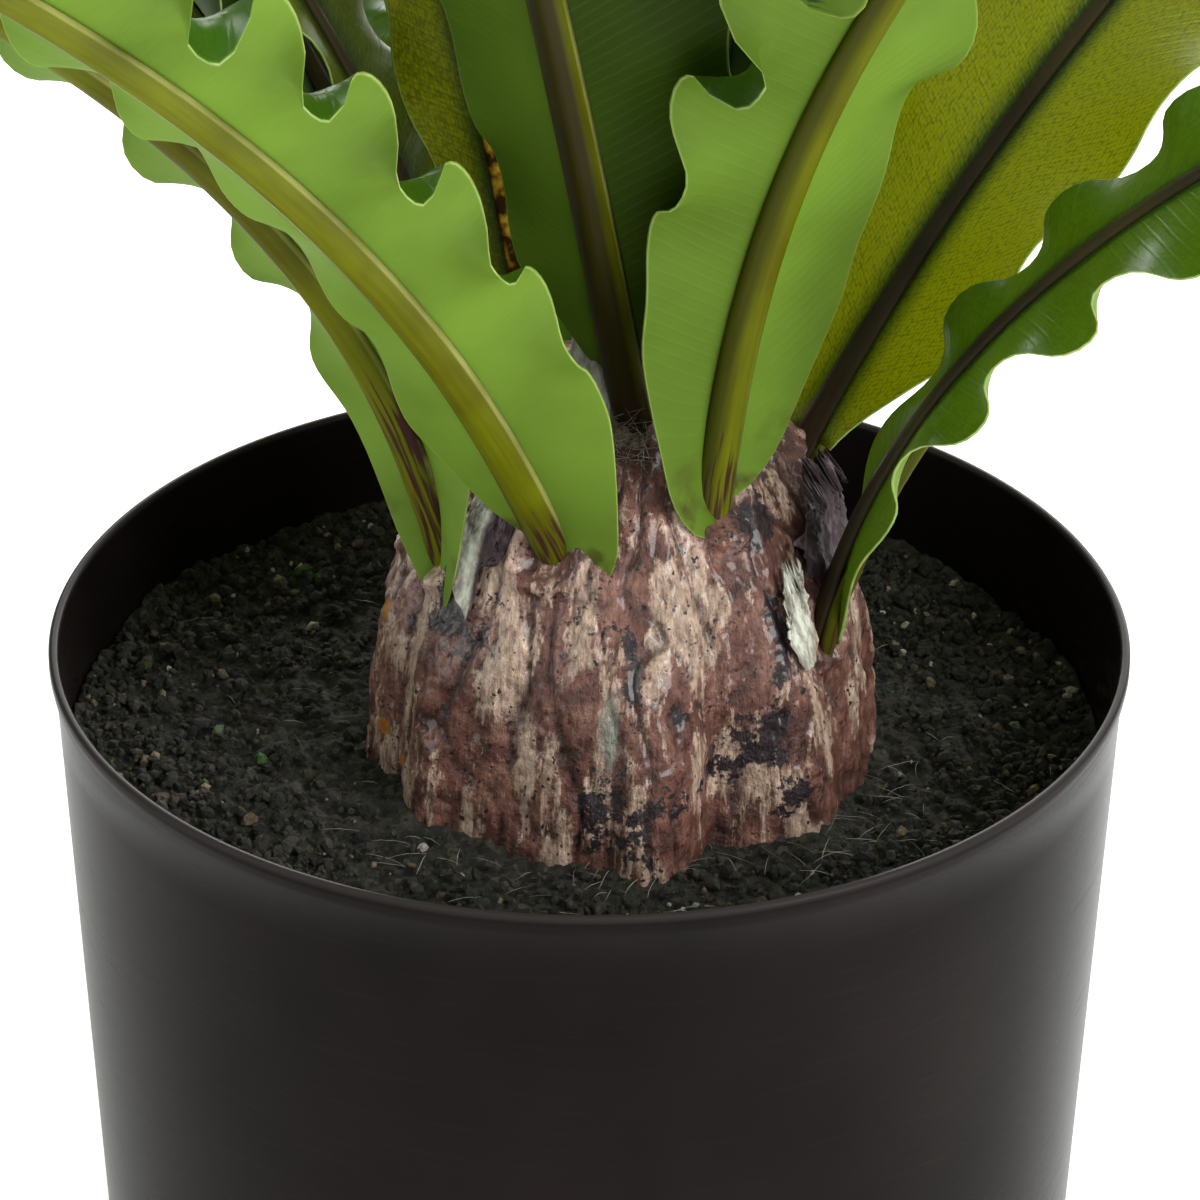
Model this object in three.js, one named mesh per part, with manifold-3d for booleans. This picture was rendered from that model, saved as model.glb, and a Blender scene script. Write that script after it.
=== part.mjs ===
// A birds nest fern in a round nursery pot, in millimetres, +Z up.
// The origin is the centre of the pot's flat base, and the near side is -Y.
import * as THREE from "three";
import Module from "manifold-3d";

// Pot
const POT_HEIGHT = 180;
const RIM_RADIUS = 100; // outer edge of the turned-out rim
const WALL_TOP_RADIUS = 99;
const WALL_BASE_RADIUS = 93;
const WALL_THICKNESS = 1.8;
const FLOOR_THICKNESS = 3;
const POT_SIDES = 56;

// Gaps between pieces that touch
const GAP = 0.3;
const ROOT_GAP = 0.45;

// Soil, with heights measured from the rim
const SOIL_DEPTH = 23;
const SOIL_SLOPE = 0.03; // the surface falls this much per mm toward +X
const SOIL_LUMP = 0.9;

// Rootstock, with heights measured from the rim
const ROUND_STEPS = 44;
const ROOT_AXIS_X = 6;
const ROOT_FOOT = -60;
const ROOT_TOP = 55;
const ROOT_HEIGHTS = [-60, -48, -36, -24, -14, -5, 4, 12, 20, 27, 33, 39, 44, 48.5, 52, 54.2];
const ROOT_RADII = [30, 40, 44.5, 47.3, 46.6, 45.6, 44.1, 42, 39, 36.6, 34.2, 30.3, 25.8, 20.5, 14, 6];

// Swellings of the rootstock's foot: direction in degrees, height and half width in degrees
const FOOT_LOBES = [
  [-84, 8, 9],
  [-105, 3, 8],
  [-136, 3.5, 9],
  [-68, -4, 5],
  [-44, 3, 12],
  [25, 3, 12],
  [60, 4, 14],
  [100, 3.5, 12],
  [145, 4, 12],
];

// Blade and midrib
const BLADE_THICKNESS = 1.1;
const BLADE_ROWS = 30;
const WAVES = 15; // waves along each margin, with two rows to each
const BLADE_COLUMNS = [-1, -0.5, 0, 0.5, 1];
const BLADE_START = 3; // bare stalk between the rootstock and the blade
const RIB_SEGMENTS = 10;
const RIB_HALF_WIDTH = 3.8;
const RIB_DEPTH = 3.8;
const PLUG_LENGTH = 12; // how far a stalk stands in the rootstock

// Fronds. foot: direction round the rootstock and height from the rim, in degrees and mm.
// heading: direction of lean. stand: lean at the foot, bend: more lean gained low down,
// droop: more lean gained toward the tip. fold: how far the two halves rise. roll: turn about the rib.
// neck: share of the full width just above the foot. wave: height of the waves of the margin.
// halves: share of the half width on the left and right. lobes: share of that kept right at the foot.
// waves: number of waves of the margin where it differs. gather: below 1 they lie closer together near the foot.
const FRONDS = [
  { foot: [-113, 34], heading: -122, stand: 30, bend: 25, droop: 18, fold: 26, roll: 16, length: 480, width: 48, neck: 0.8, halves: [0.9, 1], lobes: [0.35, 0.6], wave: 7.5, waves: 8, gather: 0.75 },
  { foot: [-152, 27], heading: -150, stand: 13, bend: 52, droop: 16, fold: 12, roll: 18, length: 430, width: 76, neck: 0.34, halves: [1, 1], lobes: [0.3, 0.22], wave: 5 },
  { foot: [-57, 41], heading: -58, stand: 8, bend: 50, droop: 20, fold: 15, roll: 0, length: 520, width: 92, neck: 0.42, halves: [0.78, 1], lobes: [0.6, 0.5], wave: 6 },
  { foot: [-84, 52], heading: -110, stand: 24, bend: 2, droop: 25, fold: 18, roll: 4, length: 520, width: 90, neck: 0.34, halves: [0.8, 1], lobes: [0.3, 0.3], wave: 3 },
  { foot: [-2, 37], heading: 32, stand: 34, bend: 26, droop: 20, fold: 8, roll: -4, length: 500, width: 116, neck: 0.4, halves: [1, 1], lobes: [0.3, 0.3], wave: 3 },
  { foot: [-30, 13], heading: -20, stand: 12, bend: 62, droop: 10, fold: 6, roll: 21, length: 440, width: 62, neck: 0.3, halves: [1, 0.7], lobes: [0.25, 0.3], wave: 4.5 },
  { foot: [132, 46], heading: 126, stand: 20, bend: 14, droop: 28, fold: 14, roll: 8, length: 520, width: 84, neck: 0.26, halves: [1, 1], lobes: [0.3, 0.3], wave: 3.5 },
  { foot: [156, 41], heading: 146, stand: 18, bend: 50, droop: 20, fold: 10, roll: 20, length: 500, width: 80, neck: 0.26, halves: [1, 1], lobes: [0.3, 0.3], wave: 5 },
  { foot: [165, 34], heading: 166, stand: 18, bend: 42, droop: 20, fold: 10, roll: 18, length: 480, width: 74, neck: 0.2, halves: [1, 1], lobes: [0.3, 0.3], wave: 6 },
  { foot: [-178, 26], heading: -172, stand: 12, bend: 44, droop: 16, fold: 6, roll: 22, length: 430, width: 70, neck: 0.14, halves: [1, 1], lobes: [0.3, 0.3], wave: 6 },
  { foot: [-14, 47], heading: 0, stand: 10, bend: 12, droop: 30, fold: 20, roll: 0, length: 480, width: 80, neck: 0.3, halves: [1, 1], lobes: [0.3, 0.3], wave: 6 },
  { foot: [60, 24], heading: 62, stand: 22, bend: 36, droop: 20, fold: 14, roll: 0, length: 460, width: 66, neck: 0.24, halves: [1, 1], lobes: [0.3, 0.3], wave: 7 },
  { foot: [98, 22], heading: 98, stand: 24, bend: 36, droop: 20, fold: 14, roll: 0, length: 460, width: 80, neck: 0.28, halves: [1, 1], lobes: [0.3, 0.3], wave: 7 },
  { foot: [138, 20], heading: 128, stand: 28, bend: 38, droop: 18, fold: 14, roll: 0, length: 450, width: 78, neck: 0.28, halves: [1, 1], lobes: [0.3, 0.3], wave: 7 },
  { foot: [76, 44], heading: 72, stand: 16, bend: 22, droop: 24, fold: 16, roll: 0, length: 500, width: 82, neck: 0.3, halves: [1, 1], lobes: [0.3, 0.3], wave: 6 },
  { foot: [40, 51], heading: 40, stand: 6, bend: 8, droop: 20, fold: 22, roll: 0, length: 420, width: 64, neck: 0.3, halves: [1, 1], lobes: [0.3, 0.3], wave: 6 },
];

// Dried scales: direction, height of the lower edge, width in degrees, length up the rootstock, flare
const SCALES = [
  { foot: [-12, 14], spread: 18, length: 24, flare: 3 },
  { foot: [-43, 6], spread: 9, length: 22, flare: 2 },
  { foot: [-136, 16], spread: 9, length: 20, flare: 2 },
];
const SCALE_THICKNESS = 0.8;

const BLADE_GREEN = 0x6f9c3a;
const RIB_OLIVE = 0x6b6a1c;
const ROOT_BROWN = 0x7a5044;
const SOIL_CHARCOAL = 0x2b2a26;
const POT_BLACK = 0x1c1a19;
const SCALE_GREY = 0x8d8578;

const radians = THREE.MathUtils.degToRad;
const clamp = THREE.MathUtils.clamp;

function smooth(x) {
  const t = clamp(x, 0, 1);
  return t * t * (3 - 2 * t);
}

function along(x, xs, ys) {
  if (x <= xs[0]) return ys[0];
  for (let i = 1; i < xs.length; i++) {
    if (x <= xs[i]) {
      const share = (x - xs[i - 1]) / (xs[i] - xs[i - 1]);
      return ys[i - 1] + (ys[i] - ys[i - 1]) * share;
    }
  }
  return ys[ys.length - 1];
}

function degreesBetween(a, b) {
  return ((((a - b + 180) % 360) + 360) % 360) - 180;
}

// Geometry from a list of points and a list of three-point faces.
function meshGeometry(points, faces) {
  const geometry = new THREE.BufferGeometry();
  geometry.setAttribute("position", new THREE.Float32BufferAttribute(points.flat(), 3));
  geometry.setIndex(faces.flat());
  geometry.computeVertexNormals();
  return geometry;
}

// A closed surface through rings of equal length, with a point at each end.
function ringSolid(start, rings, end) {
  const count = rings[0].length;
  const points = [start, ...rings.flat(), end];
  const faces = [];
  const at = (ring, i) => 1 + ring * count + (i % count);
  for (let i = 0; i < count; i++) {
    faces.push([0, at(0, i + 1), at(0, i)]);
    faces.push([points.length - 1, at(rings.length - 1, i), at(rings.length - 1, i + 1)]);
  }
  for (let ring = 0; ring + 1 < rings.length; ring++) {
    for (let i = 0; i < count; i++) {
      faces.push([at(ring, i), at(ring, i + 1), at(ring + 1, i + 1)]);
      faces.push([at(ring, i), at(ring + 1, i + 1), at(ring + 1, i)]);
    }
  }
  return meshGeometry(points, faces);
}

// A closed sheet: two grids of points split into triangles alike, joined round the edge.
function sheetSolid(front, back) {
  const rows = front.length;
  const columns = front[0].length;
  const points = [...front.flat(), ...back.flat()];
  const faces = [];
  const shift = rows * columns;
  const at = (row, column) => row * columns + column;
  for (let row = 0; row + 1 < rows; row++) {
    for (let column = 0; column + 1 < columns; column++) {
      const a = at(row, column);
      const b = at(row, column + 1);
      const c = at(row + 1, column + 1);
      const d = at(row + 1, column);
      faces.push([a, b, c], [a, c, d]);
      faces.push([a + shift, c + shift, b + shift], [a + shift, d + shift, c + shift]);
    }
  }
  const edge = [];
  for (let column = 0; column + 1 < columns; column++) edge.push(at(0, column));
  for (let row = 0; row + 1 < rows; row++) edge.push(at(row, columns - 1));
  for (let column = columns - 1; column > 0; column--) edge.push(at(rows - 1, column));
  for (let row = rows - 1; row > 0; row--) edge.push(at(row, 0));
  edge.forEach((a, i) => {
    const b = edge[(i + 1) % edge.length];
    faces.push([a, a + shift, b + shift], [a, b + shift, b]);
  });
  return meshGeometry(points, faces);
}

// Rootstock radius in a direction (degrees) at a height from the rim.
function rootRadius(direction, height) {
  const round = along(height, ROOT_HEIGHTS, ROOT_RADII);
  const low = 1 - 0.85 * smooth((height + 16) / 46);
  let lobes = 0;
  for (const [centre, swell, width] of FOOT_LOBES) {
    lobes += swell * Math.exp(-((degreesBetween(direction, centre) / width) ** 2));
  }
  const angle = radians(direction);
  const ridges = 0.7 * Math.cos(15 * angle + 0.03 * height) + 0.5 * Math.cos(9 * angle + 1.3);
  return round + lobes * low + ridges * Math.min(1, round / 40) * (1 - smooth((height - 36) / 14));
}

function rootPoint(direction, height, out = 0) {
  const reach = rootRadius(direction, height) + out;
  const angle = radians(direction);
  const x = ROOT_AXIS_X + reach * Math.cos(angle);
  return new THREE.Vector3(x, reach * Math.sin(angle), POT_HEIGHT + height);
}

function roundDirections() {
  return Array.from({ length: ROUND_STEPS }, (_, i) => (360 * i) / ROUND_STEPS);
}

function rootRing(height, out) {
  return roundDirections().map((direction) => rootPoint(direction, height, out).toArray());
}

function rootstockGeometry() {
  const rings = ROOT_HEIGHTS.map((height) => rootRing(height, 0));
  const foot = [ROOT_AXIS_X, 0, POT_HEIGHT + ROOT_FOOT];
  const top = [ROOT_AXIS_X, 0, POT_HEIGHT + ROOT_TOP];
  return ringSolid(foot, rings, top);
}

function potGeometry() {
  const inner = WALL_THICKNESS;
  const profile = [
    [0, 0],
    [WALL_BASE_RADIUS - 2, 0],
    [WALL_BASE_RADIUS, 2.5],
    [WALL_TOP_RADIUS, POT_HEIGHT - 4.5],
    [RIM_RADIUS, POT_HEIGHT - 2.5],
    [RIM_RADIUS, POT_HEIGHT],
    [RIM_RADIUS - inner, POT_HEIGHT],
    [WALL_TOP_RADIUS - inner, POT_HEIGHT - 5],
    [WALL_BASE_RADIUS - inner + 0.2, FLOOR_THICKNESS],
    [0, FLOOR_THICKNESS],
  ];
  const points = profile.map(([radius, height]) => new THREE.Vector2(radius, height));
  return new THREE.LatheGeometry(points, POT_SIDES).rotateX(Math.PI / 2);
}

function potInnerRadius(z) {
  const taper = (WALL_TOP_RADIUS - WALL_BASE_RADIUS) / (POT_HEIGHT - 5);
  return WALL_BASE_RADIUS - WALL_THICKNESS + taper * z;
}

function soilHeight(x, y) {
  const lumps = Math.sin(0.11 * x + 0.4) * Math.cos(0.09 * y) + 0.5 * Math.sin(0.05 * x - 0.13 * y);
  return POT_HEIGHT - SOIL_DEPTH - SOIL_SLOPE * x + SOIL_LUMP * lumps;
}

// Where a line from the rootstock's axis meets the inside of the pot.
function wallPoint(direction, radius) {
  const angle = radians(direction);
  const across = ROOT_AXIS_X * Math.sin(angle);
  const reach = Math.sqrt(radius ** 2 - across ** 2) - ROOT_AXIS_X * Math.cos(angle);
  return [ROOT_AXIS_X + reach * Math.cos(angle), reach * Math.sin(angle)];
}

function soilGeometry() {
  const clear = GAP + potInnerRadius(0) * (1 - Math.cos(Math.PI / POT_SIDES)) + 0.1;
  const floor = FLOOR_THICKNESS + GAP;
  const surfaceShares = [0, 0.12, 0.3, 0.55, 0.8, 1];
  const column = (direction) => {
    const low = wallPoint(direction, potInnerRadius(floor) - clear);
    const high = wallPoint(direction, potInnerRadius(POT_HEIGHT - SOIL_DEPTH) - clear);
    const inner = rootPoint(direction, -SOIL_DEPTH, 0.7).toArray();
    const surface = surfaceShares.map((share) => {
      const x = high[0] + (inner[0] - high[0]) * share;
      const y = high[1] + (inner[1] - high[1]) * share;
      return [x, y, soilHeight(x, y)];
    });
    const pocket = [-36, -48, ROOT_FOOT].map((height) => rootPoint(direction, height, 0.9).toArray());
    pocket[2][2] -= ROOT_GAP;
    return [[low[0], low[1], floor], ...surface, ...pocket];
  };
  const columns = roundDirections().map(column);
  const rings = columns[0].map((_, ring) => columns.map((points) => points[ring]));
  const start = [ROOT_AXIS_X, 0, floor];
  const end = [ROOT_AXIS_X, 0, POT_HEIGHT + ROOT_FOOT - ROOT_GAP];
  return ringSolid(start, rings, end);
}

// The line of a frond's rib, with its frame: out is along the rib, side is across it, face is toward the plant's axis.
function rib(frond) {
  const heading = radians(frond.heading);
  const steps = 240;
  const lean = (t) => radians(frond.stand + frond.bend * (1 - (1 - t) ** 3) + frond.droop * t * t);
  const outward = (t) => {
    const flat = Math.sin(lean(t));
    return new THREE.Vector3(flat * Math.cos(heading), flat * Math.sin(heading), Math.cos(lean(t)));
  };
  const places = [rootPoint(frond.foot[0], frond.foot[1])];
  for (let i = 0; i < steps; i++) {
    const step = outward((i + 0.5) / steps).multiplyScalar(frond.length / steps);
    places.push(places[i].clone().add(step));
  }
  const turn = radians(frond.roll);
  return (t) => {
    const out = outward(Math.max(t, 0));
    const level = new THREE.Vector3(-Math.sin(heading), Math.cos(heading), 0);
    const inward = out.clone().cross(level);
    const side = level.clone().multiplyScalar(Math.cos(turn)).addScaledVector(inward, Math.sin(turn));
    const face = inward.multiplyScalar(Math.cos(turn)).addScaledVector(level, -Math.sin(turn));
    const spot = Math.max(t, 0) * steps;
    const i = Math.min(Math.floor(spot), steps - 1);
    const place = places[i].clone().lerp(places[i + 1], spot - i);
    if (t < 0) place.addScaledVector(out, t * frond.length);
    return { place, side, face };
  };
}

// Half width of the blade on its left (side 0) or right (side 1).
function halfWidth(frond, t, side) {
  const lobe = frond.lobes[side];
  const base = lobe + (1 - lobe) * smooth(t / 0.07);
  const body = frond.neck + (1 - frond.neck) * Math.sin((Math.PI / 2) * clamp(t / 0.6, 0, 1));
  const tip = Math.sqrt(1 - clamp((t - 0.6) / 0.4, 0, 1) ** 2.4);
  return Math.max(1.6, (frond.width / 2) * frond.halves[side] * base * body * tip);
}

function ruffle(frond, t, side) {
  const share = halfWidth(frond, t, side) / (frond.width / 2);
  return frond.wave * smooth(t / 0.13) * Math.sqrt(share);
}

function swing(frond, share) {
  const { waves = WAVES, gather = 1 } = frond;
  return Math.cos(2 * Math.PI * waves * share ** gather);
}

// The halves lie nearly flat at the foot and rise a little way up the frond.
function foldAt(frond, t) {
  return radians(frond.fold * (0.2 + 0.8 * smooth(t / 0.14)) * (1 - 0.6 * t));
}

// Stations shared by a blade and its rib, so that the rib follows the blade at a constant gap.
function stations(frond) {
  const start = BLADE_START / frond.length;
  return Array.from({ length: RIB_SEGMENTS + 1 }, (_, i) => start + ((1 - start) * i) / RIB_SEGMENTS);
}

function blendFrames(a, b, share) {
  return {
    place: a.place.clone().lerp(b.place, share),
    side: a.side.clone().lerp(b.side, share),
    face: a.face.clone().lerp(b.face, share),
  };
}

function offset(frame, across, up) {
  return frame.place.clone().addScaledVector(frame.side, across).addScaledVector(frame.face, up);
}

function bladeGeometry(frond) {
  const marks = stations(frond);
  const frames = marks.map(rib(frond));
  const rowsEach = BLADE_ROWS / RIB_SEGMENTS;
  const upper = [];
  const lower = [];
  for (let row = 0; row <= BLADE_ROWS; row++) {
    const k = Math.min(Math.floor(row / rowsEach), RIB_SEGMENTS - 1);
    const share = row / rowsEach - k;
    const frame = blendFrames(frames[k], frames[k + 1], share);
    const t = marks[k] + (marks[k + 1] - marks[k]) * share;
    const fold = foldAt(frond, t);
    const line = (up) =>
      BLADE_COLUMNS.map((u) => {
        const reach = Math.abs(u);
        const side = u < 0 ? 0 : 1;
        const half = halfWidth(frond, t, side);
        const wave = ruffle(frond, t, side) * swing(frond, row / BLADE_ROWS);
        const rise = half * reach * Math.sin(fold) + wave * Math.sign(u) * reach ** 2.2;
        return offset(frame, half * u * Math.cos(fold), rise + up).toArray();
      });
    upper.push(line(BLADE_THICKNESS / 2));
    lower.push(line(-BLADE_THICKNESS / 2));
  }
  return sheetSolid(lower, upper);
}

// Six corners of the rib's section, which cups the fold of the blade above it.
function ribSection(frame, width, depth, rise) {
  const top = -BLADE_THICKNESS / 2 - GAP;
  const corners = [
    [width, top - 0.45 + rise],
    [0, top],
    [-width, top - 0.45 + rise],
    [-0.62 * width, top - 0.72 * depth],
    [0, top - depth],
    [0.62 * width, top - 0.72 * depth],
  ];
  return corners.map(([across, up]) => offset(frame, across, up));
}

function ribSize(t) {
  const share = 1 - clamp(t, 0, 1);
  const slim = 0.24 + 0.76 * share ** 0.8;
  return [RIB_HALF_WIDTH * slim, RIB_DEPTH * slim];
}

function middle(points) {
  const sum = points.reduce((total, point) => total.add(point), new THREE.Vector3());
  return sum.multiplyScalar(1 / points.length);
}

function ribGeometry(frond) {
  const frameAt = rib(frond);
  const buried = -PLUG_LENGTH / frond.length;
  const sections = [buried, 0].map((t) => ribSection(frameAt(t), ...ribSize(0), 0));
  for (const t of stations(frond)) {
    const [width, depth] = ribSize(t);
    sections.push(ribSection(frameAt(t), width, depth, width * Math.sin(foldAt(frond, t))));
  }
  const rings = sections.map((section) => section.map((point) => point.toArray()));
  const start = middle(sections[0]).toArray();
  const end = middle(sections[sections.length - 1]).toArray();
  return ringSolid(start, rings, end);
}

// The plain hole that a stalk stands in, a little wider than the stalk.
function stalkHole(frond) {
  const frameAt = rib(frond);
  const [width, depth] = ribSize(0);
  const deep = -(PLUG_LENGTH + 0.5) / frond.length;
  const sections = [deep, 0].map((t) => ribSection(frameAt(t), width, depth, 0));
  const along = sections[1][0].clone().sub(sections[0][0]).normalize();
  sections[1] = sections[0].map((point) => point.clone().addScaledVector(along, PLUG_LENGTH + 14));
  const rings = sections.map((section) => {
    const centre = middle(section);
    return section.map((point) => point.clone().sub(centre).multiplyScalar(1.2).add(centre).toArray());
  });
  return ringSolid(middle(sections[0]).toArray(), rings, middle(sections[1]).toArray());
}

// A dry scale that lies against the rootstock and flares out at its top.
function scaleGeometry(scale) {
  const rows = 5;
  const columns = 4;
  const grid = (out) =>
    Array.from({ length: rows }, (_, row) => {
      const up = row / (rows - 1);
      const height = scale.foot[1] + scale.length * up;
      const taper = 1 - 0.75 * up ** 2;
      return Array.from({ length: columns }, (_, column) => {
        const share = column / (columns - 1) - 0.5;
        const direction = scale.foot[0] + scale.spread * taper * share;
        const lift = 0.9 + scale.flare * up ** 2 + 0.3 * (column % 2);
        return rootPoint(direction, height, lift + out).toArray();
      });
    });
  return sheetSolid(grid(SCALE_THICKNESS), grid(0));
}

const wasm = await Module();
wasm.setup();

function toSolid(geometry) {
  return new wasm.Manifold(
    new wasm.Mesh({
      numProp: 3,
      vertProperties: new Float32Array(geometry.getAttribute("position").array),
      triVerts: new Uint32Array(geometry.index.array),
    }),
  );
}

function fromSolid(solid) {
  const mesh = solid.getMesh();
  const geometry = new THREE.BufferGeometry();
  geometry.setAttribute("position", new THREE.BufferAttribute(mesh.vertProperties, 3));
  geometry.setIndex(new THREE.BufferAttribute(mesh.triVerts, 1));
  geometry.computeVertexNormals();
  return geometry;
}

function drilledRootstock() {
  let solid = toSolid(rootstockGeometry());
  for (const frond of FRONDS) solid = solid.subtract(toSolid(stalkHole(frond)));
  return fromSolid(solid);
}

function piece(name, geometry, color, roughness) {
  const material = new THREE.MeshStandardMaterial({ color, roughness, metalness: 0 });
  const mesh = new THREE.Mesh(geometry, material);
  mesh.name = name;
  return mesh;
}

const group = new THREE.Group();
group.add(piece("pot", potGeometry(), POT_BLACK, 0.4));
group.add(piece("soil", soilGeometry(), SOIL_CHARCOAL, 0.95));
group.add(piece("rootstock", drilledRootstock(), ROOT_BROWN, 0.6));
FRONDS.forEach((frond, i) => {
  const name = `frond_${String(i + 1).padStart(2, "0")}`;
  group.add(piece(`${name}_blade`, bladeGeometry(frond), BLADE_GREEN, 0.5));
  group.add(piece(`${name}_midrib`, ribGeometry(frond), RIB_OLIVE, 0.5));
});
SCALES.forEach((scale, i) => {
  group.add(piece(`dried_scale_${i + 1}`, scaleGeometry(scale), SCALE_GREY, 0.85));
});

export default group;
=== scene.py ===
"""Dresses the potted birds nest fern: leaf skins, ribs, rootstock, soil crumbs, pot, papery scales and fibres.

Shapes are worked out in millimetres and turned into metres when a mesh is made.
"""

import math
import random
from functools import partial

import bpy
import numpy as np
from mathutils import Matrix, Vector, noise


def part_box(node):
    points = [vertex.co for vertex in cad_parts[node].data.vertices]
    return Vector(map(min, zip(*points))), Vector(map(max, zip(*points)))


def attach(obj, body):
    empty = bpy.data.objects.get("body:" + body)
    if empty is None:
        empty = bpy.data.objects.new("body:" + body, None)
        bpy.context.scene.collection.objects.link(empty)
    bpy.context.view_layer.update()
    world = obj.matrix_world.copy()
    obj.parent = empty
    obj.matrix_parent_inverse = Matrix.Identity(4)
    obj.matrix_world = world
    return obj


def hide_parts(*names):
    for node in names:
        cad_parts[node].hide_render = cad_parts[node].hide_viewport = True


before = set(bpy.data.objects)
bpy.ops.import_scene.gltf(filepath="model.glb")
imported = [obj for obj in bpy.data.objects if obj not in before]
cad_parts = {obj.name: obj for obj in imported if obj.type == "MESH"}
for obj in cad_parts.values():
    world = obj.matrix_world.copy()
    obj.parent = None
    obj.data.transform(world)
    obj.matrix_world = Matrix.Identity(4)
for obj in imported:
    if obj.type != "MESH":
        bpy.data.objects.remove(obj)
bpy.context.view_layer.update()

bl_info = {
    "name": "Potted birds nest fern",
    "version": (1, 0, 0),
    "blender": (4, 5, 0),
    "location": "View3D > Sidebar > Fern",
    "description": "Builds the fern's leaves, rootstock, soil and pot, with a plain studio round them",
    "category": "Add Mesh",
}

MM = 0.001

# Pot and soil, in millimetres
POT_HEIGHT = (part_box("pot")[1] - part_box("pot")[0]).z / MM
RIM_RADIUS = 100
WALL_TOP_RADIUS = 99
WALL_BASE_RADIUS = 93
WALL_THICKNESS = 1.8
FLOOR_THICKNESS = 3
SOIL_DEPTH = 23
SOIL_SLOPE = 0.03

# Rootstock: heights from the rim and radii, then swellings of the foot as direction, height and half width
ROOT_AXIS_X = 6
ROOT_FOOT = -60
ROOT_TOP = 55
ROOT_HEIGHTS = [-60, -48, -36, -24, -14, -5, 4, 12, 20, 27, 33, 39, 44, 48.5, 52, 54.2]
ROOT_RADII = [30, 40, 44.5, 47.3, 46.6, 45.6, 44.1, 42, 39, 36.6, 34.2, 30.3, 25.8, 20.5, 14, 6]
FOOT_LOBES = [
    (-84, 8, 9), (-105, 3, 8), (-136, 3.5, 9), (-68, -4, 5), (-44, 3, 12),
    (25, 3, 12), (60, 4, 14), (100, 3.5, 12), (145, 4, 12),
]

# Patches of paint on the rootstock, by layer: direction and height from the rim, then half the width in
# degrees and half the height
PAINT = {
    "thick": [
        (-84, 40, 15, 14), (-108, 16, 5, 8), (-100, 4, 4, 10), (-58, 34, 12, 8), (-118, 30, 8, 5),
        (-140, 14, 7, 14), (-128, 0, 3, 16), (-75, 4, 4, 10), (-58, 8, 5, 12),
    ],
    "dark": [
        (-57, -1, 8, 7), (-64, -6, 6, 5), (-88, -14, 8, 9), (-96, -12, 5, 7), (-79, -6, 4, 4),
        (-88, 16, 2.5, 6),
        (-49, 14, 3, 8), (-138, 20, 9, 10), (-50, -14, 6, 4), (-46, 36, 8, 10), (60, 0, 9, 10),
        (150, 4, 8, 12),
        (10, -8, 7, 8),
    ],
    "pale": [
        (-150, 9, 4, 22), (-118, 13, 5, 8), (-113, -5, 3, 12), (-100, 23, 3, 8), (-82, 20, 3, 10),
        (-73, 10, 3, 14),
        (-96, -9, 3, 11), (-40, 12, 3, 12), (-61, -9, 8, 7), (-67, 21, 3, 12), (-92, 45, 10, 9),
        (-124, 30, 6, 8),
        (30, 8, 4, 16), (95, 10, 5, 18), (120, -4, 4, 12), (175, 10, 4, 18),
    ],
    "green": [(-93, 4, 3, 8)],
    "orange": [(-160, -13, 3, 2.2), (-167, 8, 2, 3), (-150, -16, 2, 1.4)],
}

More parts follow.
